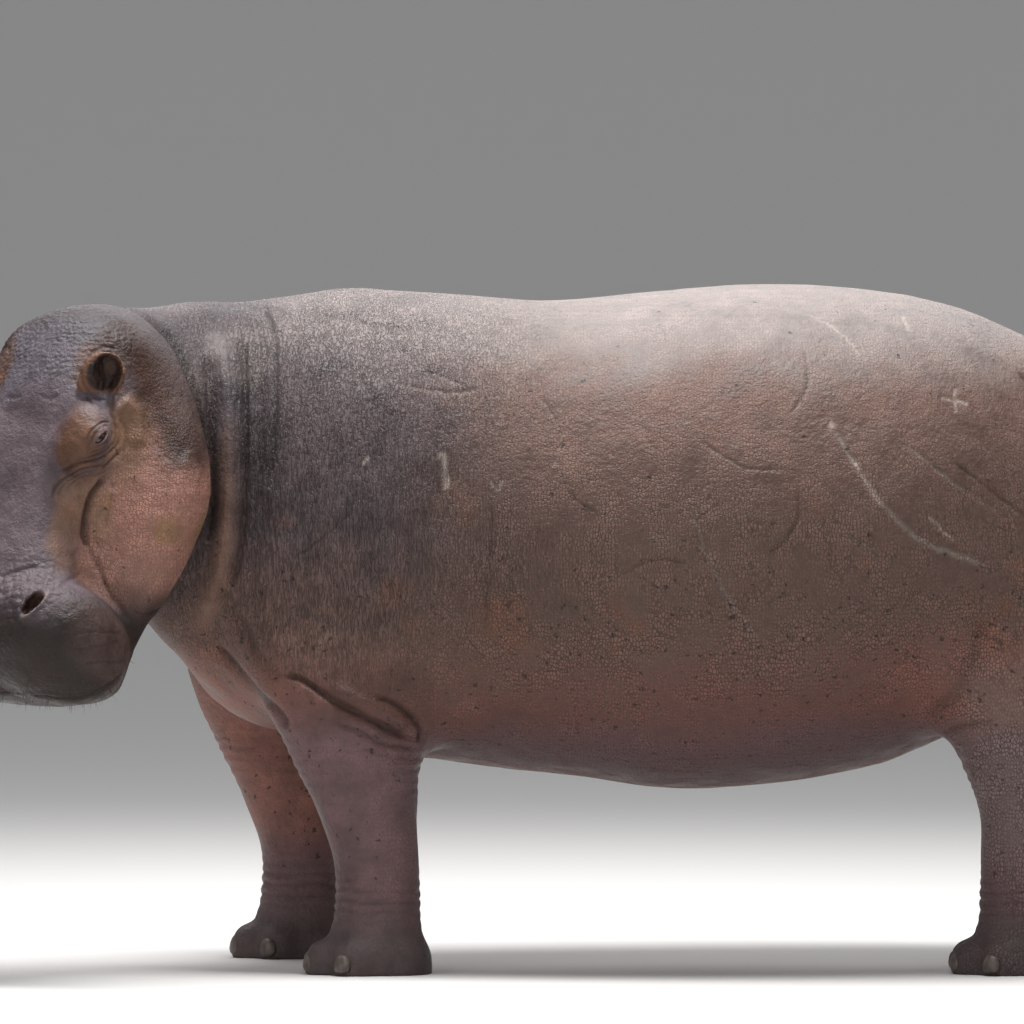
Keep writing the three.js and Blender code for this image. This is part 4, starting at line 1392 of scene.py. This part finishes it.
HUES = {
    "flank": ("674f46", "Grey-brown of the flank"),
    # Back: dried grey skin and a painted sheen of the sky on top; also laid on the hind legs to lighten them.
    "back": ("837874", "Grey of the back"),
    "shoulder": ("4b4144", "Dark grey of the shoulder"),
    "rust": ("77503c", "Rusty tinge low on the flank"),
    "belly": ("6b4840", "Pinkish brown of the belly"),
    "leg": ("644c4d", "Purplish grey of the legs"),
    "pink": ("885a4d", "Pink inside the legs and on the chest"),
    "foot": ("4e4141", "Dark grey of the feet"),
    # Neck: its own lighter brown, also a painted highlight along the neck ridge.
    "neck": ("73574a", "Light fold of the neck"),
    "snout": ("5a4d52", "Mauve grey of the snout"),
    "crown": ("58525a", "Dark grey of the crown"),
    "jowl": ("93695c", "Pink tan of the jowl"),
    "ochre": ("84683f", "Ochre patches on the jowl"),
    "nape": ("3b3336", "Grey of the nape"),
    # Behind ear: rusty brown, darkened further as painted shade in the hollow behind the temple.
    "behind ear": ("341c12", "Rusty brown behind the ear"),
    # Temple: also painted as bounce light on the lower front of the jowl.
    "temple": ("87685c", "Pink tan before the ear"),
    "lid": ("5f3f2c", "Orange brown of the lids"),
    "tan": ("80614d", "Tan behind the eye"),
    "muzzle": ("251c1a", "Dark grey-brown of the muzzle"),
    "lip": ("523f3a", "Lighter skin at the lips"),
    "ear": ("5e3f31", "Brown of the ear"),
    "ear rim": ("7d563f", "Light rim of the ear"),
    # Ear hollow shade: painted shade in the ear's cup.
    "ear hollow shade": ("281812", "Dark hollow of the ear"),
    # Nostril: red-brown, darkened as painted shade inside the pit.
    "nostril": ("38231d", "Red-brown inside the nostril"),
    "inner lid": ("4e322b", "Wet rim of the lids"),
    # Crease: the colour of painted shade in creases, cracks and hollows, at the elbows and under the muzzle;
    # also the scars' dark.
    "crease": ("20150f", "Dark bottom of a crease"),
    # Scar: pale scars; also painted bounce light under the jowl and a painted highlight on the nostril rims.
    "scar": ("cbbcb0", "Pale healed scar"),
}


class HippoHues(bpy.types.PropertyGroup):
    """The skin's colours."""

    __annotations__ = {
        name.replace(" ", "_"): shade_property(
            name.capitalize(), code, text
        ) for name, (code, text) in HUES.items()
    }


class HippoSkin(bpy.types.PropertyGroup):
    """How finely the skin is made, and its pattern."""

    cell: FloatProperty(
        name="Cell", description="Size of the skin's quads", unit="LENGTH", default=0.0064, min=0.003
    )
    crack_scale: FloatProperty(name="Crack scale", description="Cracked cells to a metre", default=150.0)
    speck_scale: FloatProperty(name="Speck scale", description="Places for a speck to a metre", default=42.0)
    roughness: FloatProperty(
        name="Roughness", description="The hide's middling roughness", default=0.53, min=0, max=1
    )


class HippoHair(bpy.types.PropertyGroup):
    """The few bristles that a hippopotamus has."""

    muzzle_count: IntProperty(name="On the muzzle", description="Bristles on the lips", default=420, min=0)
    ear_count: IntProperty(name="On each ear", description="Hairs along an ear's rim", default=150, min=0)
    tail_count: IntProperty(name="On the tail", description="Bristles at the tail's tip", default=260, min=0)
    thickness: FloatProperty(
        name="Thickness", description="A bristle at its root", unit="LENGTH", default=0.0009
    )


class HippoStage(bpy.types.PropertyGroup):
    """Floor, lights and camera."""

    floor_tone: FloatVectorProperty(
        name="Floor",
        description="The floor's colour",
        subtype="COLOR_GAMMA",
        size=3,
        default=(0.85, 0.84, 0.83),
    )
    key_power: FloatProperty(
        name="Key", description="Power of the light overhead", unit="POWER", default=460.0
    )
    fill_power: FloatProperty(
        name="Fill", description="Power of the light before it", unit="POWER", default=90.0
    )
    rim_power: FloatProperty(
        name="Rim", description="Power of the light behind it", unit="POWER", default=130.0
    )
    camera_height: FloatProperty(
        name="Camera tilt", description="Angle above level", subtype="ANGLE", default=math.radians(1.3)
    )


# ---------------------------------------------------------------- the skin

SKIN_LOW, SKIN_HIGH = [-1400, -830, -18], [1540, 640, 1560]
HEAD_EDGE = 30  # the head's fine quads reach this far past it
FLESH_NODES = [n for n in frame["nodes"] if not n.startswith(("eye", "forenail", "hindnail"))]


def near_scars(p):
    seen, near = side_view(p, scars=True), np.zeros(len(p), bool)
    for points, *_ in SCARS.values():
        near |= off_line(seen, points, SCAR_REACH)[0] < SCAR_REACH - 1
    return near & (np.abs(p[:, 1]) > 150)


def near_eyes(q):
    q = q.copy()
    q[:, 1] = np.abs(q[:, 1])
    return np.linalg.norm(q - EYE_AT, axis=1) < 44


def skin_surface(cell):
    surface = Surface(*surface_of(flesh, SKIN_LOW, SKIN_HIGH, cell))
    surface.points = settled(flesh, surface.points, 0.6 * cell)
    middle = surface.points[surface.quads].mean(1)
    neck = (middle[:, 0] < -500) & (middle[:, 2] > 780) & (middle[:, 1] < 60)
    chosen = (sampled(head, middle) < HEAD_EDGE) | near_scars(middle) | neck
    new = surface.split(chosen)
    surface.points[new] = settled(flesh, surface.points[new], 0.5 * cell)
    middle = surface.points[surface.quads].mean(1)
    new = surface.split(near_eyes(FACE.seen(middle)))
    surface.points[new] = settled(flesh, surface.points[new], 0.3 * cell)
    return surface


class HIPPO_OT_skin(bpy.types.Operator):
    """Builds the skin over every node of flesh"""

    bl_idname = "hippo.skin"
    bl_label = "Skin"

    def execute(self, context):
        sizes, shades = context.scene.hippo_skin, context.scene.hippo_hues
        hues = {name: linear(getattr(shades, name.replace(" ", "_"))) for name in HUES}
        surface = skin_surface(sizes.cell / MM)
        p, normal = surface.points, surface.normals()
        relief, on_head = folds(p, normal)
        p = p + normal * (relief.height * rise(p[:, 2], 0, 25))[:, None]
        p[:, 2] = np.maximum(p[:, 2], 0)
        corners, starts, counts = surface.loops()
        piece = mesh_of("skin", p, corners, starts)
        tone, specks, crackle = skin_tones(surface.points, normal, relief, on_head, hues)
        colour(piece.data, "tone", tone)
        number(piece.data, "specks", specks)
        number(piece.data, "crackle", crackle)
        furrows = rise(
            p[:, 0] + 130 * noise(p, 180, 41), 300, -420
        ) * rise(p[:, 2], 560, 760) * (1 - on_head) * (1 - 0.85 * on_neck_ridge(p))
        number(piece.data, "furrows", furrows)
        put_map(piece.data, charts(p, corners, starts, counts))
        skin_material(piece, sizes)
        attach(piece, "root")
        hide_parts(*FLESH_NODES)
        return {"FINISHED"}


# ---------------------------------------------------------------- eyes and nails


def dome_grid(rows, around, shape):
    """A closed ball of rows and columns: shape gives each point from its angles."""
    points = [
        shape(math.pi * r / rows, 2 * math.pi * c / around) for r in range(1, rows) for c in range(around)
    ]
    points += [shape(0, 0), shape(math.pi, 0)]
    faces = []
    for r in range(rows - 2):
        for c in range(around):
            d = (c + 1) % around
            faces.append([r * around + c, (r + 1) * around + c, (r + 1) * around + d, r * around + d])
    top, bottom, lowest = len(points) - 2, len(points) - 1, (rows - 2) * around
    for c in range(around):
        d = (c + 1) % around
        faces.append([top, c, d])
        faces.append([bottom, lowest + d, lowest + c])
    return np.array(points), faces


def object_from(name, parts):
    """One object from several (points, faces) parts."""
    points, corners, starts, seen, used = [], [], [], 0, 0
    for part, faces in parts:
        points.append(part)
        for face in faces:
            starts.append(used)
            corners += [seen + n for n in face]
            used += len(face)
        seen += len(part)
    return mesh_of(name, np.concatenate(points), corners, starts)


CORNEA = 5.0  # how far the clear front stands out of the eyeball


def eyeball(s):
    f = eye_frame(s)

    def shape(polar, around):
        bulge = CORNEA * 0.16 * bell(polar, 0.55)
        r = EYE_RADIUS - 0.8 + bulge
        return f.placed(
            [
                r * math.sin(polar) * math.cos(around),
                s * r * math.sin(polar) * math.sin(around),
                r * math.cos(polar),
            ]
        )

    points, faces = dome_grid(40, 48, shape)
    return points, faces


def eye_material(piece):
    g = Graph("eye")
    ring = g.read("gaze").outputs["Fac"]  # angle from the middle of the pupil, in radians
    iris = g.mix(g.grain(240.0, 4.0), (0.030, 0.012, 0.005, 1), (0.085, 0.036, 0.014, 1))
    base = g.mix(g.scaled(ring, 0.30, 0.34), (0.002, 0.002, 0.002, 1), iris)
    white = g.mix(g.grain(90.0, 3.0), (0.10, 0.055, 0.045, 1), (0.16, 0.10, 0.085, 1))
    base = g.mix(g.scaled(ring, 0.72, 0.82), base, white)
    normal = g.bump(g.grain(400.0, 2.0), 0.05, 0.0003)
    g.shader.inputs["Coat Weight"].default_value = 0.6
    g.shader.inputs["Coat Roughness"].default_value = 0.03
    g.finish(piece, Base_Color=base, Roughness=g.scaled(g.grain(60.0), 0.3, 0.7, 0.06, 0.14), Normal=normal)


class HIPPO_OT_eyes(bpy.types.Operator):
    """Builds both eyeballs, behind the lids of the skin"""

    bl_idname = "hippo.eyes"
    bl_label = "Eyes"

    def execute(self, context):
        for s, side in zip(BOTH_SIDES, ("left", "right")):
            piece = object_from(f"eyeball_{side}", [eyeball(s)])
            co = np.zeros(3 * len(piece.data.vertices))
            piece.data.vertices.foreach_get("co", co)
            q = eye_frame(s).seen(co.reshape(-1, 3) / MM - BODY_AT)
            number(piece.data, "gaze", np.arctan2(np.hypot(q[:, 0] + 2, q[:, 1] + 1), q[:, 2]))
            eye_material(piece)
            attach(piece, "root")
            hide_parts(f"eye_{side}")
        return {"FINISHED"}


NAIL_HALF = (13, 21, 20)  # thickness, width, height
NAIL_HEIGHT = 27
TOE_REACH = 42
TOE_SPLAY = [math.radians(a) for a in (-48, -12, 12, 48)]


def nail(x, y, toe):
    """A thick shield on the front of a toe, arched from side to side and blunt at its lower edge."""
    angle = TOE_SPLAY[toe]
    dx, dy, _ = TOES[toe]
    ahead, across = np.array(
        [-math.cos(angle), math.sin(angle), 0]
    ), np.array([math.sin(angle), math.cos(angle), 0])
    middle = np.array([x + dx, y + dy, NAIL_HEIGHT]) + ahead * TOE_REACH

    def shape(polar, around):
        squarer = 0.8
        up = math.copysign(abs(math.cos(polar)) ** squarer, math.cos(polar))
        out = math.sin(polar) ** squarer
        wide = out * math.sin(around)
        thick = out * math.cos(around)
        ridge = 1 + 0.012 * math.cos(26 * around)
        width = NAIL_HALF[1] * (1 - 0.14 * up)
        lean = 2.5 * (1 - up)
        return (
            middle
            + ahead * (NAIL_HALF[0] * thick * ridge - 0.10 * NAIL_HALF[0] * wide * wide + lean - 2.5)
            + across * (width * wide)
            + np.array([0, 0, NAIL_HALF[2] * up])
        )

    return dome_grid(20, 48, shape)


def nail_material(piece):
    g = Graph("horn")
    bands = g.grain(120.0, 3.0, 0.6, stretch=(1.0, 1.0, 0.25))
    base = g.mix(g.scaled(bands, 0.3, 0.7), (0.040, 0.028, 0.024, 1), (0.105, 0.080, 0.068, 1))
    base = g.mix(g.scaled(g.grain(35.0, 3.0), 0.45, 0.7, 0.0, 0.6), base, (0.17, 0.13, 0.11, 1))
    normal = g.bump(bands, 0.5, 0.0012)
    normal = g.bump(g.grain(300.0, 2.0), 0.3, 0.0005, normal)
    g.finish(piece, Base_Color=base, Roughness=g.scaled(g.grain(50.0), 0.3, 0.7, 0.36, 0.56), Normal=normal)


class HIPPO_OT_nails(bpy.types.Operator):
    """Builds the toenails, one piece to a foot"""

    bl_idname = "hippo.nails"
    bl_label = "Toenails"

    def execute(self, context):
        for name, (x, y, _) in STANCE.items():
            stem = name.replace("leg", "nail")
            piece = object_from(f"{stem}s", [nail(x, y, toe) for toe in range(len(TOES))])
            nail_material(piece)
            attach(piece, "root")
            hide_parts(*[f"{stem}_{toe + 1}" for toe in range(len(TOES))])
        return {"FINISHED"}


# ---------------------------------------------------------------- bristles

HAIR_SIDES = 3
HAIR_STEPS = 5
PATCH = 0.003  # a hair's patch on the unwrap


def skin_roots(mask_of, count, seed):
    """Places on the skin: points, normals and places on its unwrap, where the mask allows."""
    mesh = bpy.data.objects["skin"].data
    n = len(mesh.vertices)
    co, normal = np.zeros(3 * n, np.float32), np.zeros(3 * n, np.float32)
    mesh.vertices.foreach_get("co", co)
    mesh.vertices.foreach_get("normal", normal)
    points, normal = co.reshape(-1, 3) / MM - BODY_AT, normal.reshape(-1, 3)
    uv, corner = np.zeros(2 * len(mesh.loops), np.float32), np.zeros(len(mesh.loops), np.int32)
    mesh.uv_layers["OFBake"].data.foreach_get("uv", uv)
    mesh.loops.foreach_get("vertex_index", corner)
    place = np.zeros((n, 2))
    place[corner] = uv.reshape(-1, 2)
    weight = mask_of(points, normal)
    chosen = np.random.default_rng(seed).choice(n, count, replace=False, p=weight / weight.sum())
    return points[chosen], normal[chosen], place[chosen]


def hairs(name, roots, lengths, lean, droop, thickness, seed):
    """Thin tapered bristles, each a few rings that bend towards droop, joined in one object."""
    points, normals, places = roots
    rng = np.random.default_rng(seed)
    parts, patches = [], []
    for p, n, uv, length in zip(points, normals, places, lengths):
        way = unit(n + lean + rng.normal(0, 0.22, 3))
        first = unit(np.cross(way, [0.3, 0.5, 0.8]))
        second = np.cross(way, first)
        rings = []
        for step in range(HAIR_STEPS):
            t = step / (HAIR_STEPS - 1)
            middle = p - n * 0.8 + way * length * t + np.asarray(droop) * length * t * t
            r = thickness / MM / 2 * (1 - 0.8 * t)
            for side in range(HAIR_SIDES):
                a = 2 * math.pi * side / HAIR_SIDES
                rings.append(middle + r * (math.cos(a) * first + math.sin(a) * second))
        faces = [
            list(range(HAIR_SIDES))[::-1], [(HAIR_STEPS - 1) * HAIR_SIDES + i for i in range(HAIR_SIDES)]
        ]
        for step in range(HAIR_STEPS - 1):
            for i in range(HAIR_SIDES):
                a, b = step * HAIR_SIDES + i, step * HAIR_SIDES + (i + 1) % HAIR_SIDES
                faces.append([a, b, b + HAIR_SIDES, a + HAIR_SIDES])
        parts.append((np.array(rings), faces))
        for face in faces:
            for corner in face:
                patches.append(
                    uv + PATCH * np.array(
                        [corner % HAIR_SIDES / HAIR_SIDES - 0.5, corner // HAIR_SIDES / HAIR_STEPS - 0.5]
                    )
                )
    piece = object_from(name, parts)
    put_map(piece.data, np.clip(np.array(patches), 0, 1))
    return piece


def bristle_material(piece):
    g = Graph("bristle")
    base = g.mix(g.grain(25.0, 2.0), (0.012, 0.008, 0.007, 1), (0.055, 0.040, 0.032, 1))
    normal = g.bump(g.grain(500.0, 2.0), 0.2, 0.0002)
    g.finish(piece, Base_Color=base, Roughness=g.scaled(g.grain(80.0), 0.3, 0.7, 0.35, 0.55), Normal=normal)


def on_lips(p, normal):
    q = FACE.seen(p)
    low = rise(q[:, 0], 690, 800) * rise(q[:, 2], 0, -60)
    sides = rise(np.abs(q[:, 1]), 190, 240) * rise(q[:, 0], 620, 700) * rise(q[:, 2], -40, -90)
    mouth = bell(q[:, 2] + 200, 60) * rise(q[:, 0], 720, 780)
    return (0.35 * low + 0.8 * sides + 1.2 * mouth) * (
        np.linalg.norm(p - FACE.placed([720, 0, -150]), axis=1) < 330
    ) + 1e-12


def on_ear_rims(s):
    def mask(p, normal):
        e = ear_frame(s).seen(p)
        out = np.linalg.norm((e - [60, 0, 0])[:, :2], axis=1)
        return rise(out, 40, 46) * (np.abs(e[:, 2]) < 24) * (e[:, 0] > 34) * (e[:, 0] < 125) * (
            np.abs(e[:, 1]) < 60
        ) + 1e-12

    return mask


def on_tail_tip(p, normal):
    flat = rise(np.abs(normal[:, 1]) + 0.4 * np.abs(normal[:, 0]), 0.4, 0.8)
    return flat * (p[:, 0] > 1425) * rise(p[:, 2], 900, 760) + 1e-12


class HIPPO_OT_bristles(bpy.types.Operator):
    """Builds the bristles of the lips, the ears' rims and the tail's tip"""

    bl_idname = "hippo.bristles"
    bl_label = "Bristles"

    def execute(self, context):
        hair = context.scene.hippo_hair
        rng = np.random.default_rng(71)
        made = []
        roots = skin_roots(on_lips, hair.muzzle_count, 72)
        lengths = rng.gamma(2.6, 5.0, hair.muzzle_count).clip(4, 55)
        made.append(
            hairs(
                "bristles_muzzle",
                roots,
                lengths,
                FACE.turned([0.35, 0, -0.2]),
                [0, 0, -0.12],
                hair.thickness,
                73,
            )
        )
        for s, side in zip(BOTH_SIDES, ("left", "right")):
            roots = skin_roots(on_ear_rims(s), hair.ear_count, 74 + s)
            lengths = rng.uniform(5, 13, hair.ear_count)
            lean = 0.6 * ear_frame(s).axes[0]
            made.append(
                hairs(f"hairs_ear_{side}", roots, lengths, lean, [0, 0, 0], 0.6 * hair.thickness, 76 + s)
            )
        roots = skin_roots(on_tail_tip, hair.tail_count, 78)
        lengths = rng.uniform(12, 42, hair.tail_count)
        made.append(hairs("bristles_tail", roots, lengths, [0, 0, -1.6], [-0.1, 0, -0.1], hair.thickness, 79))
        for piece in made:
            bristle_material(piece)
            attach(piece, "root")
        return {"FINISHED"}


# ---------------------------------------------------------------- floor, lights and camera

AIM = [0, 0, 1007]  # what the camera looks at, in the body's frame
CAMERA_AWAY = 25.0
VIEW_WIDTH = 2.276  # metres across the picture at the aim
SENSOR = 36.0
FLOOR_RADIUS = 44.0  # metres of flat floor, further than any camera stands away
RIM_ROUND = 8.0  # how wide and high the floor's rim sweeps up
WALL_TOP = 20.0
FLOOR_SIDES, RIM_STEPS = 96, 12


def floor_and_wall():
    """A round floor, wider than any camera stands away, that sweeps up into a wall."""
    profile = [(2.0, 0.0), (6.0, 0.0), (16.0, 0.0)]
    for step in range(RIM_STEPS + 1):
        a = math.pi / 2 * step / RIM_STEPS
        profile.append((FLOOR_RADIUS + RIM_ROUND * math.sin(a), RIM_ROUND * (1 - math.cos(a))))
    profile.append((FLOOR_RADIUS + RIM_ROUND, WALL_TOP))
    angles = [2 * math.pi * n / FLOOR_SIDES for n in range(FLOOR_SIDES)]
    points = [(0.0, 0.0, 0.0)] + [(r * math.cos(a), r * math.sin(a), z) for r, z in profile for a in angles]
    faces = []
    for n in range(FLOOR_SIDES):
        m = (n + 1) % FLOOR_SIDES
        faces.append((0, 1 + n, 1 + m))
        for ring in range(len(profile) - 1):
            inner, outer = 1 + ring * FLOOR_SIDES, 1 + (ring + 1) * FLOOR_SIDES
            faces.append((inner + n, outer + n, outer + m, inner + m))
    mesh = bpy.data.meshes.new("floor")
    mesh.from_pydata(points, [], faces)
    mesh.polygons.foreach_set("use_smooth", [True] * len(faces))
    piece = bpy.data.objects.new("floor", mesh)
    bpy.context.scene.collection.objects.link(piece)
    return piece


def area_light(name, place, aim, width, height, power, tint=(1, 1, 1)):
    light = bpy.data.lights.new(name, "AREA")
    light.shape, light.size, light.size_y = "RECTANGLE", width, height
    light.energy, light.color = power, tint
    lamp = bpy.data.objects.new(name, light)
    bpy.context.scene.collection.objects.link(lamp)
    lamp.location = place
    way = np.array(aim, float) - place
    lamp.rotation_euler = look_along(way)
    return lamp


def look_along(way):
    """The turn that points a camera's or lamp's own -Z along a way, with its top upwards."""
    x, y, z = unit(way)
    return (math.acos(-z), 0.0, math.atan2(-x, y))


class HIPPO_OT_stage(bpy.types.Operator):
    """Builds the floor, the lights and the camera"""

    bl_idname = "hippo.stage"
    bl_label = "Stage"

    def execute(self, context):
        stage = context.scene.hippo_stage
        floor = floor_and_wall()
        g = Graph("floor")
        tone = (*linear(stage.floor_tone), 1.0)
        g.finish(floor, Base_Color=tone, Roughness=0.85)
        middle = np.array(AIM, float) * MM + BODY_AT * MM

        area_light("key", middle + [-0.3, -0.5, 4.4], middle + [0, 0.1, -0.2], 4.2, 1.6, stage.key_power)
        area_light("rim", middle + [0.5, 4.2, 3.4], middle + [0, 0, 0.3], 6.0, 2.0, stage.rim_power)
        area_light("fill", middle + [-3.5, -6.5, 1.4], middle, 4.0, 3.0, stage.fill_power)
        world = bpy.data.worlds.new("studio")
        world.use_nodes = True
        world.node_tree.nodes["Background"].inputs[0].default_value = (0.93, 0.96, 1.0, 1)
        world.node_tree.nodes["Background"].inputs[1].default_value = 0.45
        context.scene.world = world
        context.scene.view_settings.view_transform = "Standard"

        camera = bpy.data.cameras.new("camera")
        camera.sensor_width, camera.lens = SENSOR, SENSOR * CAMERA_AWAY / VIEW_WIDTH
        camera.clip_end = 200.0
        mount = bpy.data.objects.new("camera", camera)
        context.scene.collection.objects.link(mount)
        tilt = stage.camera_height
        back = np.array([0, -math.cos(tilt), math.sin(tilt)]) * CAMERA_AWAY
        mount.location = middle + back
        mount.rotation_euler = look_along(-back)
        context.scene.camera = mount
        return {"FINISHED"}


# ---------------------------------------------------------------- panel and registration

OPERATORS = (HIPPO_OT_skin, HIPPO_OT_eyes, HIPPO_OT_nails, HIPPO_OT_bristles, HIPPO_OT_stage)
SETTINGS = {
    "hippo_hues": HippoHues,
    "hippo_skin": HippoSkin,
    "hippo_hair": HippoHair,
    "hippo_stage": HippoStage,
}


class HIPPO_PT_panel(bpy.types.Panel):
    """Lists what can be built, with its sizes and colours"""

    bl_idname = "HIPPO_PT_panel"
    bl_label = "Hippopotamus"
    bl_space_type = "VIEW_3D"
    bl_region_type = "UI"
    bl_category = "Hippo"

    def draw(self, context):
        for operator in OPERATORS:
            self.layout.operator(operator.bl_idname)
        for name, group in SETTINGS.items():
            box = self.layout.box()
            for key in group.__annotations__:
                box.prop(getattr(context.scene, name), key)


def register():
    for cls in (*SETTINGS.values(), *OPERATORS, HIPPO_PT_panel):
        bpy.utils.register_class(cls)
    for name, group in SETTINGS.items():
        setattr(bpy.types.Scene, name, PointerProperty(type=group))


def unregister():
    for name in SETTINGS:
        delattr(bpy.types.Scene, name)
    for cls in reversed((*SETTINGS.values(), *OPERATORS, HIPPO_PT_panel)):
        bpy.utils.unregister_class(cls)


def main():
    register()
    bpy.ops.hippo.skin()
    bpy.ops.hippo.eyes()
    bpy.ops.hippo.nails()
    bpy.ops.hippo.bristles()
    bpy.ops.hippo.stage()
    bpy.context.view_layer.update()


if __name__ == "__main__":
    main()
